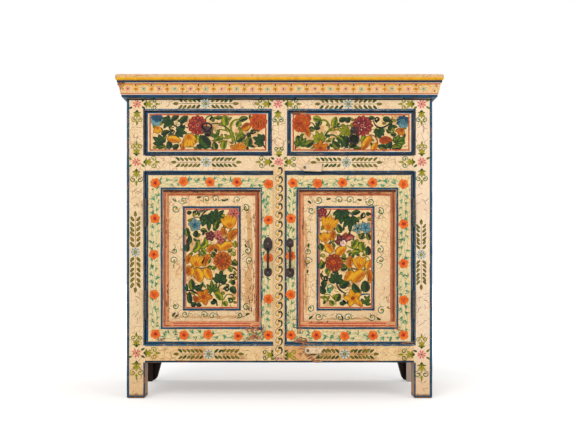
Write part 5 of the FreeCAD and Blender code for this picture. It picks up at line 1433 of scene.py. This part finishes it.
LEFT_FIELD = (
    ("stem", ((199.0, 218.5), (202.0, 214.0), (207.0, 209.6), (212.5, 208.9)), 1.1, "ink_green"),
    ("stem", ((186.0, 256.2), (192.0, 251.5), (200.0, 248.5), (207.0, 245.5), (211.0, 242.6)), 1.0, "lime"),
    ("stem", ((191.5, 268.5), (198.0, 268.0), (204.0, 267.8), (213.5, 265.6)), 1.2, "stem"),
    ("stem", ((213.5, 221.5), (215.0, 225.0), (216.0, 230.5)), 0.8, "vein"),
    ("stem", ((225.0, 240.5), (226.5, 236.5), (230.0, 228.0)), 0.9, "stem"),
    ("stem", ((220.5, 243.0), (223.0, 239.0), (226.5, 236.0)), 0.9, "stem"),
    ("stem", ((186.0, 290.2), (191.0, 290.4), (195.0, 292.2), (198.6, 294.8)), 1.4, "ink_green"),
    ("stem", ((216.0, 288.8), (218.5, 286.0), (219.6, 281.0)), 1.2, "stem"),
    ("stem", ((221.6, 306.4), (221.9, 301.5), (222.8, 298.2)), 0.9, "lime"),
    ("leaf", 188.8, 212.3, 4.2, 3.2, 10, "dark", 0.0),
    ("curl", 194.4, 212.2, 3.0, 60, 1.0, 1.5, "ink_green",
     ((193.0, 215.9), (196.5, 216.9), (201.5, 216.6))),
    ("leaf", 201.8, 210.6, 7.5, 3.2, 12, "tan", 0.1),
    ("lobed", 208.3, 222.4, 12.0, 15.5, 272, "dark", 5),
    ("lobed", 218.0, 214.6, 12.0, 13.5, 40, "dark", 5),
    ("leaf", 216.6, 224.8, 9.0, 4.8, 72, "green", 0.08),
    ("bloom", 233.2, 213.4, 5.6, "pink", "wine", "wine", 6, 10, 2, "crimson"),
    ("tulip", 228.6, 220.8, 14.0, 15.0, 102, "gold"),
    ("star", 194.4, 224.4, 6.9, "sky", 5, 100, 0.72, "deep_sky"),
    ("star", 194.0, 224.8, 4.6, "mist", 5, 64, 0.6, "deep_sky"),
    ("leaf", 195.8, 233.6, 6.4, 4.4, 85, "dark", 0.05),
    ("leaf", 203.4, 230.6, 6.4, 3.2, 350, "green", 0.08),
    ("leaf", 187.6, 231.8, 8.0, 4.4, 100, "green", 0.1),
    ("leaf", 188.2, 239.2, 8.6, 4.2, 75, "dark", -0.1),
    ("leaf", 187.4, 247.2, 8.0, 4.2, 84, "dark", 0.1),
    ("leaf", 194.6, 245.6, 12.0, 4.8, 70, "lime", -0.22),
    ("leaf", 202.6, 242.4, 11.5, 4.8, 66, "lime", -0.2),
    ("leaf", 203.0, 251.4, 6.2, 3.6, 305, "lime", 0.1),
    ("star", 209.8, 235.6, 5.2, "wine", 5, 150, 0.85, "black"),
    ("bloom", 217.6, 234.6, 4.6, "pink", "wine", "wine", 5, 30, 2, "crimson"),
    ("star", 220.2, 239.6, 4.4, "pink", 5, 300, 0.75, "wine"),
    ("leaf", 223.8, 231.4, 8.6, 5.4, 104, "rust", 0.1),
    ("leaf", 232.2, 234.6, 12.0, 7.0, 52, "rust", 0.05),
    ("leaf", 226.4, 245.8, 12.5, 7.2, 24, "gold", 0.05),
    ("leaf", 211.2, 248.6, 9.5, 5.6, 38, "rust", 0.1),
    ("leaf", 217.6, 247.6, 8.0, 4.8, 306, "gold", 0.12),
    ("leaf", 213.0, 254.2, 4.8, 4.2, 100, "green", 0.0),
    ("curl", 233.2, 254.0, 2.6, 200, 1.0, 1.3, "lime", ((235.6, 250.8), (231.5, 248.3), (226.5, 250.6))),
    ("leaf", 233.8, 263.4, 5.6, 4.4, 320, "green", 0.15),
    ("leaf", 234.8, 244.0, 6.4, 3.0, 88, "lime", 0.0),
    ("rose", 222.1, 260.5, 8.7, "orange", "outline", "rust", "flame", "scarlet", 13),
    ("tulip", 196.4, 260.2, 13.0, 13.5, 84, "gold"),
    ("leaf", 188.6, 258.9, 9.5, 4.6, 68, "rust", 0.1),
    ("leaf", 187.4, 270.4, 10.0, 4.6, 268, "rust", 0.12),
    ("leaf", 191.2, 271.4, 9.0, 2.2, 262, "gold", 0.1),
    ("leaf", 206.2, 260.0, 13.6, 6.4, 58, "rust", 0.1),
    ("leaf", 197.6, 275.0, 14.0, 8.2, 290, "gold", 0.08),
    ("leaf", 208.2, 273.2, 12.5, 7.2, 300, "gold", -0.08),
    ("leaf", 213.4, 267.6, 5.0, 3.2, 20, "lime", 0.0),
    ("leaf", 229.8, 268.8, 5.6, 3.8, 300, "lime", 0.0),
    ("lobed", 220.2, 276.2, 12.5, 12.0, 82, "dark", 5),
    ("curl", 231.6, 276.2, 3.0, 230, 0.95, 1.6, "ink_green", ((234.4, 277.4), (236.4, 275.8))),
    ("stem", ((236.4, 270.6), (234.0, 268.0), (231.0, 267.4)), 1.3, "ink_green"),
    ("leaf", 232.6, 282.0, 4.8, 3.8, 60, "dark", 0.0),
    ("leaf", 232.2, 290.0, 7.4, 5.2, 310, "dark", 0.08),
    ("leaf", 191.9, 284.4, 10.6, 5.4, 98, "green", 0.05),
    ("lobed", 200.2, 286.4, 7.5, 10.5, 62, "dark", 3),
    ("leaf", 186.2, 287.4, 7.0, 2.2, 90, "dark", 0.0),
    ("lobed", 211.6, 286.0, 9.5, 11.5, 96, "green", 5),
    ("curl", 226.0, 289.0, 3.0, 200, 0.95, 1.5, "dark_leaf",
     ((228.8, 285.6), (224.0, 283.4), (218.5, 286.2), (215.0, 289.6))),
    ("star", 203.4, 296.6, 8.6, "orange", 5, 68, 0.66, "rust"),
    ("leaf", 195.8, 298.4, 6.8, 4.6, 130, "flame", 0.05),
    ("leaf", 189.6, 297.4, 11.0, 4.2, 95, "dark", 0.05),
    ("leaf", 193.2, 304.2, 5.4, 4.0, 20, "dark", 0.0),
    ("leaf", 198.4, 304.6, 4.6, 3.4, 350, "dark", 0.0),
    ("curl", 212.6, 301.6, 2.6, 240, 0.6, 2.6, "dark_leaf", ((215.6, 300.2), (216.6, 305.6))),
    ("leaf", 217.8, 295.8, 10.0, 5.2, 132, "lime", -0.08),
    ("curl", 229.8, 300.4, 3.0, 160, 0.95, 1.5, "leaf",
     ((233.4, 298.8), (231.0, 294.2), (226.0, 294.6), (223.2, 299.6))),
    ("leaf", 225.0, 303.2, 5.0, 3.8, 300, "lime", 0.0),
)
RIGHT_FIELD = (
    ("stem", ((319.5, 221.5), (325.0, 218.5), (329.0, 214.5), (331.2, 209.8)), 1.2, "wine"),
    ("stem", ((333.5, 213.5), (338.5, 210.8), (345.0, 210.6), (352.0, 214.6), (359.2, 223.6)), 1.3,
     "deep_sky"),
    ("stem", ((345.5, 245.0), (351.0, 248.0), (358.0, 250.8), (363.0, 252.2), (370.6, 260.0)), 1.1, "lime"),
    ("stem", ((343.0, 264.6), (348.5, 267.2), (356.0, 269.4), (367.0, 270.2)), 1.3, "stem"),
    ("stem", ((327.5, 231.5), (330.0, 238.0), (333.5, 246.0), (336.0, 252.0)), 1.0, "stem"),
    ("stem", ((336.6, 283.0), (339.0, 288.5), (342.0, 291.6), (346.6, 294.2)), 1.4, "ink_green"),
    ("stem", ((358.5, 296.4), (363.0, 294.6), (370.8, 294.4)), 1.3, "deep_sky"),
    ("stem", ((336.2, 305.5), (336.0, 301.0), (334.0, 297.4)), 0.9, "lime"),
    ("bloom", 322.8, 212.8, 4.6, "crimson", "wine", "scarlet", 5, 20, 2, "pink"),
    ("leaf", 321.6, 216.0, 5.0, 3.0, 60, "pink", 0.0),
    ("tulip", 329.8, 223.2, 14.0, 16.0, 78, "gold"),
    ("lobed", 341.6, 217.6, 12.5, 13.5, 268, "dark", 5),
    ("lobed", 350.6, 224.6, 11.5, 15.5, 268, "dark", 5),
    ("leaf", 356.8, 213.4, 7.4, 3.8, 15, "dark", 0.1),
    ("curl", 363.0, 216.0, 3.0, 100, 0.95, 1.5, "ink_green", ((362.0, 219.4), (358.4, 218.2))),
    ("leaf", 368.4, 214.2, 3.6, 2.8, 20, "dark", 0.0),
    ("leaf", 340.3, 228.8, 8.2, 5.0, 108, "green", 0.08),
    ("star", 358.0, 228.8, 5.6, "mist", 5, 130, 0.72, "ink_green"),
    ("star", 366.0, 228.0, 6.2, "sky", 5, 50, 0.76, "deep_sky"),
    ("leaf", 362.4, 236.6, 6.4, 4.2, 60, "green", 0.05),
    ("leaf", 369.2, 236.8, 7.0, 3.8, 112, "green", 0.05),
    ("star", 341.6, 240.6, 6.2, "wine", 5, 200, 0.8, "black"),
    ("leaf", 350.0, 238.4, 9.4, 5.2, 14, "wine", 0.1),
    ("leaf", 345.6, 236.4, 6.2, 4.4, 80, "flame", 0.0),
    ("bloom", 343.6, 243.4, 3.2, "pale_pink", "crimson", "crimson", 5, 0, 4, "pink"),
    ("tulip", 325.0, 237.0, 11.0, 10.0, 100, "gold"),
    ("leaf", 333.8, 235.4, 9.6, 5.2, 78, "rust", 0.08),
    ("leaf", 329.6, 248.0, 11.5, 6.4, 128, "gold", 0.05),
    ("leaf", 342.0, 251.6, 12.0, 7.0, 42, "gold", 0.1),
    ("leaf", 321.6, 247.2, 6.6, 4.2, 100, "green", 0.0),
    ("curl", 323.3, 256.2, 2.5, 200, 1.0, 1.3, "lime",
     ((320.0, 254.6), (321.6, 251.6), (327.0, 251.0), (331.0, 253.4))),
    ("leaf", 355.2, 244.2, 9.6, 5.2, 58, "lime", -0.05),
    ("leaf", 362.6, 247.2, 9.6, 5.8, 98, "lime", 0.05),
    ("leaf", 356.0, 253.2, 8.6, 3.8, 12, "lime", 0.08),
    ("leaf", 368.6, 251.0, 8.4, 4.6, 94, "dark", 0.0),
    ("rose", 334.4, 262.9, 8.5, "rust", "outline", "scarlet", "orange", "crimson", 12),
    ("leaf", 344.2, 258.6, 5.4, 3.4, 350, "green", 0.0),
    ("leaf", 322.9, 265.8, 7.4, 5.0, 60, "green", 0.1),
    ("leaf", 344.4, 268.9, 6.4, 3.8, 10, "green", 0.0),
    ("leaf", 328.0, 271.2, 6.0, 4.2, 250, "lime", 0.0),
    ("leaf", 350.4, 262.4, 12.6, 5.0, 84, "rust", 0.05),
    ("tulip", 359.8, 262.6, 11.5, 14.0, 92, "gold"),
    ("leaf", 369.4, 265.0, 9.0, 5.0, 70, "gold", 0.1),
    ("leaf", 348.6, 275.8, 12.0, 7.0, 232, "gold", 0.1),
    ("leaf", 358.8, 277.0, 16.0, 9.0, 222, "gold", -0.06),
    ("leaf", 369.2, 276.6, 13.0, 5.4, 280, "rust", 0.08),
    ("curl", 326.6, 278.4, 2.8, 340, 0.9, 1.7, "ink_green",
     ((323.4, 280.6), (321.2, 276.0), (323.4, 271.0))),
    ("leaf", 324.4, 284.4, 6.6, 4.8, 280, "dark", 0.0),
    ("lobed", 336.6, 277.0, 12.5, 12.5, 84, "dark", 5),
    ("leaf", 322.8, 290.4, 8.4, 5.0, 118, "dark", 0.0),
    ("leaf", 345.0, 285.4, 9.4, 6.6, 32, "dark", 0.1),
    ("leaf", 356.8, 288.2, 10.4, 5.6, 124, "dark", 0.12),
    ("leaf", 365.7, 286.8, 10.8, 7.6, 96, "dark", 0.0),
    ("curl", 330.2, 290.2, 2.9, 320, 0.9, 1.6, "teal_leaf",
     ((327.6, 287.6), (331.0, 284.6), (336.6, 289.4))),
    ("curl", 326.2, 298.6, 2.9, 0, 0.9, 1.6, "lime", ((324.4, 296.0), (329.6, 294.6), (335.0, 300.4))),
    ("leaf", 338.6, 298.0, 7.6, 5.6, 62, "green", 0.08),
    ("leaf", 332.2, 303.2, 5.4, 4.2, 128, "lime", 0.0),
    ("curl", 342.6, 303.2, 2.6, 220, 0.6, 2.6, "dark_leaf", ((345.6, 302.2), (346.4, 304.6))),
    ("star", 353.2, 298.4, 9.0, "gold", 5, 104, 0.66, "rust"),
    ("leaf", 359.8, 303.4, 8.0, 4.2, 312, "gold", 0.0),
    ("lobed", 367.6, 300.0, 7.5, 10.0, 62, "green", 3),
)
LEFT_DRAWER = (
    ("stem", ((169.5, 120.5), (173.5, 124.5), (178.5, 127.4), (188.5, 127.2)), 1.1, "ink_green"),
    ("stem", ((181.0, 149.0), (183.0, 141.5), (187.0, 136.5), (192.0, 133.0)), 1.0, "rust"),
    ("stem",
     ((210.0, 124.4), (217.0, 123.4), (224.0, 126.0), (230.5, 131.8), (235.0, 141.0), (236.0, 147.0)), 1.3,
     "leaf"),
    ("stem", ((214.0, 131.0), (222.0, 129.6), (230.0, 132.6)), 1.0, "lime"),
    ("stem", ((234.6, 140.6), (231.4, 131.0), (231.0, 125.0), (234.0, 120.6), (240.6, 119.0)), 1.7, "lime"),
    ("stem", ((257.0, 141.0), (262.0, 143.4), (265.4, 148.4)), 1.4, "ink_green"),
    ("stem", ((161.5, 143.5), (166.0, 147.0), (170.0, 149.4)), 1.2, "deep_sky"),
    ("round", 156.6, 120.0, 6.8, "sky", 1, 0.95, 0, 9, 0.14),
    ("round", 157.4, 117.6, 5.2, "deep_sky", 2, 0.9, 0, 7, 0.16),
    ("round", 153.6, 116.6, 2.6, "deep_sky", 3, 0.9, 0, 5, 0.16),
    ("round", 158.6, 119.0, 2.4, "blue", 4, 0.9, 0, 5, 0.16),
    ("tulip", 157.6, 130.0, 7.4, 8.0, 272, "gold"),
    ("lobed", 158.2, 140.4, 11.5, 12.0, 148, "dark", 5),
    ("leaf", 161.2, 147.4, 7.0, 2.8, 8, "green", 0.05),
    ("leaf", 169.4, 144.8, 7.2, 4.8, 104, "dark", 0.0),
    ("leaf", 175.8, 146.8, 6.4, 4.2, 32, "dark", 0.0),
    ("lobed", 166.9, 123.6, 9.5, 11.0, 236, "dark", 5),
    ("leaf", 168.6, 117.6, 4.6, 2.6, 105, "dark", 0.0),
    ("leaf", 175.4, 118.4, 7.6, 4.0, 28, "dark", 0.1),
    ("leaf", 184.2, 120.0, 9.6, 4.8, 44, "dark", 0.1),
    ("curl", 182.0, 125.6, 2.6, 120, 0.7, 1.6, "ink_green", ((180.4, 128.0),)),
    ("leaf", 165.4, 132.9, 8.2, 4.0, 22, "dark", 0.05),
    ("curl", 171.6, 131.6, 2.7, 40, 0.95, 1.5, "ink_green", ((169.0, 129.0), (174.0, 127.2))),
    ("lobed", 181.6, 132.2, 10.0, 10.5, 350, "dark", 5),
    ("leaf", 174.0, 139.8, 13.5, 6.0, 350, "gold", 0.05),
    ("tulip", 190.2, 140.8, 14.0, 14.0, 292, "gold"),
    ("leaf", 183.0, 145.6, 8.4, 3.8, 82, "orange", 0.0),
    ("rose", 197.6, 125.2, 9.2, "scarlet", "wine", "rose", "pink", "black", 12),
    ("leaf", 196.2, 138.4, 8.4, 4.4, 262, "lime", 0.05),
    ("leaf", 205.2, 141.4, 14.5, 9.2, 128, "dark", 0.06),
    ("leaf", 199.6, 146.6, 5.6, 4.2, 160, "dark", 0.0),
    ("leaf", 215.0, 146.0, 7.6, 4.8, 104, "green", 0.0),
    # A dark round behind the ring is the ring's painted shadow on the drawer
    ("round", 207.2, 130.0, 5.6, "ring_shadow", 7, 0.74),
    ("stem", ((209.5, 145.6), (212.0, 148.4), (216.0, 149.4)), 1.2, "deep_sky"),
    ("curl", 212.6, 119.6, 2.6, 300, 0.7, 1.9, "leaf", ((212.0, 116.2), (208.0, 116.4), (205.4, 119.4))),
    ("leaf", 219.0, 118.0, 6.4, 3.0, 5, "green", 0.05),
    ("leaf", 225.2, 120.6, 10.6, 6.2, 96, "lime", 0.0),
    ("lobed", 217.4, 133.8, 8.0, 9.0, 66, "green", 3),
    ("leaf", 219.0, 139.2, 9.6, 3.6, 12, "lime", 0.08),
    ("lobed", 229.2, 136.8, 8.0, 10.0, 196, "lime", 3),
    ("leaf", 223.6, 144.8, 8.6, 4.8, 80, "lime", 0.0),
    ("leaf", 243.6, 119.6, 8.4, 4.2, 18, "green", 0.1),
    ("leaf", 238.4, 123.8, 6.0, 4.2, 238, "lime", 0.0),
    ("lobed", 240.6, 133.2, 7.5, 9.0, 66, "lime", 3),
    ("leaf", 241.2, 138.6, 10.4, 6.0, 36, "green", 0.08),
    ("leaf", 245.6, 126.6, 9.8, 6.0, 210, "orange", 0.05),
    ("rose", 258.4, 121.6, 8.4, "flame", "rust", "scarlet", "orange", "rust", 9),
    ("fan", 258.0, 117.0, ((292, 13.0, 4.6), (272, 13.5, 4.4), (252, 12.0, 4.2), (310, 11.0, 4.2)), "flame",
     5),
    ("curl", 252.6, 131.4, 2.8, 60, 0.95, 1.6, "dark_leaf", ((251.6, 134.0), (256.0, 132.4))),
    ("leaf", 248.8, 134.8, 4.6, 3.6, 40, "dark", 0.0),
    ("leaf", 248.6, 142.0, 9.6, 6.6, 80, "green", 0.0),
    ("lobed", 258.4, 139.6, 12.0, 11.5, 158, "dark", 5),
    ("fan", 239.0, 149.6,
     ((60, 8.4, 4.2), (92, 6.8, 4.0), (126, 7.0, 3.8), (24, 9.0, 3.6), (160, 9.4, 3.6)), "rust", 2),
)
RIGHT_DRAWER = (
    ("stem", ((295.0, 149.4), (296.6, 144.8), (299.4, 140.0)), 1.3, "ink_green"),
    ("stem", ((323.0, 143.0), (324.0, 138.0), (328.0, 131.6), (336.0, 127.0), (352.0, 125.4)), 1.4, "leaf"),
    ("stem", ((329.0, 131.6), (336.0, 129.6), (342.0, 130.4)), 1.0, "lime"),
    ("stem", ((328.8, 131.4), (329.2, 125.6), (326.0, 120.8), (321.4, 120.4), (319.4, 124.0)), 1.5, "lime"),
    ("stem", ((324.0, 140.6), (328.6, 135.6), (334.4, 135.4), (341.0, 141.0)), 1.2, "leaf"),
    ("stem", ((373.4, 121.0), (375.6, 125.4), (381.0, 127.8), (388.6, 124.4), (392.6, 117.2)), 1.3,
     "ink_green"),
    ("stem", ((372.0, 129.6), (381.0, 128.4), (387.0, 129.4)), 1.0, "vein"),
    ("stem", ((368.0, 134.8), (373.6, 135.6), (377.0, 140.0), (377.0, 145.0), (373.6, 149.4)), 1.0, "rust"),
    ("stem", ((389.6, 149.6), (393.0, 146.0), (396.6, 143.4)), 1.4, "dark_leaf"),
    ("stem", ((343.6, 149.0), (346.6, 147.4), (350.0, 148.8)), 1.0, "deep_sky"),
    ("rose", 301.2, 123.4, 8.6, "flame", "rust", "orange", "scarlet", "rust", 9),
    ("leaf", 308.6, 118.2, 6.4, 5.4, 80, "flame", 0.1),
    ("fan", 302.6, 121.0, ((200, 10.0, 4.6), (224, 11.5, 4.6), (248, 12.0, 4.6), (272, 11.0, 4.4)), "flame",
     5),
    ("leaf", 306.6, 132.2, 9.4, 4.8, 300, "rust", 0.1),
    ("curl", 311.6, 128.6, 3.2, 40, 0.95, 1.7, "dark_leaf",
     ((314.6, 126.4), (312.6, 123.2), (309.6, 122.6))),
    ("leaf", 317.2, 127.8, 5.2, 3.8, 350, "dark", 0.0),
    ("lobed", 300.8, 140.2, 11.0, 11.5, 84, "green", 5),
    ("leaf", 309.6, 144.0, 9.4, 5.6, 32, "green", 0.05),
    ("leaf", 317.0, 118.8, 7.4, 4.8, 352, "lime", 0.0),
    ("leaf", 319.6, 123.0, 5.4, 3.6, 250, "green", 0.0),
    ("leaf", 334.6, 121.8, 9.4, 5.2, 74, "lime", 0.0),
    ("lobed", 318.2, 136.0, 10.0, 11.0, 112, "lime", 5),
    ("curl", 330.0, 139.6, 2.7, 20, 1.1, 1.2, "lime", ()),
    ("leaf", 339.4, 139.0, 8.6, 3.6, 326, "lime", 0.06),
    ("leaf", 336.2, 144.8, 9.0, 6.0, 136, "green", 0.06),
    ("leaf", 342.6, 119.8, 6.8, 4.2, 12, "dark", 0.0),
    ("leaf", 347.8, 120.0, 5.6, 4.4, 50, "dark", 0.0),
    ("lobed", 344.2, 132.2, 10.0, 11.0, 214, "lime", 5),
    ("leaf", 346.2, 143.2, 8.4, 4.2, 84, "dark", 0.0),
    ("lobed", 342.8, 141.6, 10.5, 11.0, 268, "dark", 5),
    ("leaf", 352.6, 145.6, 7.0, 4.0, 10, "green", 0.0),
    ("rose", 362.3, 125.8, 9.6, "rose", "wine", "crimson", "pink", "outline", 13),
    ("leaf", 363.6, 139.0, 7.4, 4.4, 68, "lime", 0.0),
    ("leaf", 367.6, 142.0, 13.0, 7.0, 56, "gold", 0.08),
    ("leaf", 364.6, 146.4, 7.6, 4.0, 30, "orange", 0.0),
    ("leaf", 374.4, 146.8, 8.4, 5.2, 66, "gold", 0.0),
    ("curl", 377.4, 119.6, 3.0, 280, 0.95, 1.6, "ink_green", ((374.0, 118.0), (372.8, 121.6))),
    ("leaf", 371.4, 118.0, 5.4, 3.0, 10, "dark", 0.0),
    ("leaf", 386.8, 119.8, 7.4, 4.6, 345, "dark", 0.05),
    ("lobed", 379.4, 134.0, 10.0, 9.5, 276, "dark", 5),
    ("lobed", 393.0, 126.4, 7.5, 8.8, 350, "dark", 3),
    ("curl", 388.6, 131.6, 2.5, 200, 0.9, 1.5, "dark_leaf", ((391.0, 129.8), (387.6, 128.8))),
    ("leaf", 393.4, 134.2, 5.6, 3.4, 348, "green", 0.0),
    ("leaf", 385.8, 140.8, 12.6, 6.2, 2, "flame", 0.06),
    ("round", 402.8, 121.6, 6.4, "deep_sky", 1, 0.95, 0, 9, 0.14),
    ("round", 403.6, 124.6, 4.6, "sky", 2, 0.7, 0, 7, 0.16),
    ("round", 402.4, 120.0, 4.4, "deep_sky", 3, 0.8, 0, 7, 0.16),
    ("fan", 403.6, 119.0,
     ((200, 6.6, 1.2), (226, 7.4, 1.2), (252, 7.6, 1.3), (278, 7.2, 1.2), (304, 6.0, 1.1)), "sky", 4),
    ("tulip", 400.6, 131.8, 7.6, 7.6, 238, "orange"),
    ("lobed", 400.2, 140.2, 11.0, 11.5, 36, "green", 5),
    ("leaf", 383.2, 147.4, 8.0, 5.2, 150, "green", 0.0),
    ("leaf", 389.2, 144.6, 7.4, 5.2, 64, "dark", 0.0),
    ("leaf", 396.6, 148.6, 8.4, 3.8, 4, "green", 0.05),
    ("leaf", 357.4, 148.4, 7.4, 3.0, 0, "green", 0.0),
    ("star", 320.6, 148.6, 8.8, "orange", 6, 90, 0.5, "rust"),
    # A dark green round behind the ring, over the leaves, is painted shade of the ring on the drawer
    ("round", 354.2, 139.0, 4.3, "ink_green", 7, 0.95),
)
LEAF_LONGER, LEAF_WIDER, STEM_WIDER = 1.06, 1.16, 1.4
GROUND_CELL = 5.0
RIGHT_DRAWER_CHIPS = ((297.0, 113.4, 10.0, 3.0, 4), (302.6, 112.4, 7.0, 2.0, 0))


def fill_ground(s, low, high):
    """Small leaves and tendrils between the large motifs, under them."""
    wide, deep = high[0] - low[0], high[1] - low[1]
    across, down = int(wide / GROUND_CELL), int(deep / GROUND_CELL)
    middle = (low[0] + high[0]) / 2
    s.line((middle, low[1] - 1.6), (middle, high[1] + 2.4), wide + 4.6, "ground", -2, 0.0)
    for _ in range(int(wide * deep / 170)):
        spot = hand.uniform(low[0], high[0]), hand.uniform(low[1], high[1])
        radius, squash, turn = hand.uniform(2.5, 6.0), hand.uniform(0.4, 0.9), hand.uniform(0, 180)
        s.round(*spot, radius, "dusk", -1, squash, turn, lobes=7, depth=0.3)
    for i in range(across):
        for j in range(down):
            x = low[0] + (i + hand.uniform(0.2, 0.8)) * wide / across
            y = low[1] + (j + hand.uniform(0.2, 0.8)) * deep / down
            a = hand.uniform(0, 360)
            kind = hand.random()
            if kind < 0.46:
                length, width = hand.uniform(3.2, 5.4), hand.uniform(1.5, 2.6)
                look = hand.choice(("dark", "green", "moss", "moss", "ochre"))
                s.leaf(x, y, length, width, a, look, 0.1, 0)
            elif kind < 0.7:
                tip = towards(*towards(x, y, a, 4.4), a + 60, 1.6)
                s.stem([(x, y), towards(x, y, a, 2.6), tip], 0.6, hand.choice(("leaf", "moss", "stem")))


def paint_field(name, body, face_y, rows, dx, dy, low, high):
    s = Sheet(name + "_painting", body, "cream_paint", flat(face_y), face_y, 0.12, dx, dy)
    fill_ground(s, low, high)
    for kind, *rest in rows:
        if kind == "leaf":
            rest[2] *= LEAF_LONGER
            rest[3] *= LEAF_WIDER
        if kind == "stem":
            rest[1] *= STEM_WIDER
        if kind == "curl":
            rest[5] *= STEM_WIDER
        getattr(s, kind)(*rest)
    return s


LEFT_FIELD_PX, RIGHT_FIELD_PX = ((186, 211), (236, 305)), ((321, 211), (372, 305))
LEFT_DRAWER_PX, RIGHT_DRAWER_PX = ((153, 117), (264, 149)), ((295, 117), (406, 149))


def paint_fields():
    left_y, right_y = LEFT_DOOR_Y + FIELD_DEPTH, RIGHT_DOOR_Y + FIELD_DEPTH
    paint_field("left_field", "left_door", left_y, LEFT_FIELD, 0.5, 0.3, *LEFT_FIELD_PX).build()
    paint_field("right_field", "right_door", right_y, RIGHT_FIELD, -0.4, -0.3, *RIGHT_FIELD_PX).build()
    for side, name, rows, corners, chips in (
        (-1, "left_drawer", LEFT_DRAWER, LEFT_DRAWER_PX, ()),
        (1, "right_drawer", RIGHT_DRAWER, RIGHT_DRAWER_PX, RIGHT_DRAWER_CHIPS),
    ):
        s = paint_field(name, name, DRAWER_Y, rows, 0.0, 0.0, *corners)
        x0, x1 = sorted((side * DRAWER_IN, side * DRAWER_OUT))
        s.frame(x0, x1, DRAWER_LOW, DRAWER_HIGH, 5.2, "blue", 8)
        s.frame(x0 + 5.0, x1 - 5.0, DRAWER_LOW + 4.6, DRAWER_HIGH - 4.0, 1.8, "white", 7)
        s.frame(x0 + 9.6, x1 - 9.6, DRAWER_LOW + 8.2, DRAWER_HIGH - 6.6, 3.2, "lines", 8)
        for x, y, wide, high, turn in chips:
            s.round(x, y, wide / 2, "bare", 9, high / wide, turn, lobes=6, depth=0.2)
        s.build()


# The sides: worn blue lines along the posts and round the panels

class SideSheet(Sheet):
    """Painted shapes on a side: a point is (y, z) in millimetres."""

    unit, wobble = 1.0, 0.2

    def place(self, px, py, rise):
        outward = 1 if self.start_y > 0 else -1
        return ((self.start_y + outward * rise) * MM, px * MM, py * MM)

    def mm(self, x, z):
        return x, z


def paint_side(side):
    name = "left" if side < 0 else "right"
    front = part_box("front_%s_post" % name)[0][1] / MM
    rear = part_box("rear_%s_post" % name)[1][1] / MM
    s = SideSheet(name + "_side_painting", "carcase", "blue_paint", None, side * POST_X)
    low, high, inset = POST_FOOT, POST_HEAD - 0.5, 45.2
    s.frame(front, rear, low, high, 4.8, "blue", 0, "lr")
    s.frame(front + inset, rear - inset, low, high, 4.8, "navy", 0, "lr")
    s.frame(front, front + 50.0, low, low + 8.0, 3.8, "blue", 0, "b")
    s.build()


paint_frame()
paint_frieze()
paint_strip()
paint_door(-1)
paint_door(1)
paint_fields()
paint_side(-1)
paint_side(1)
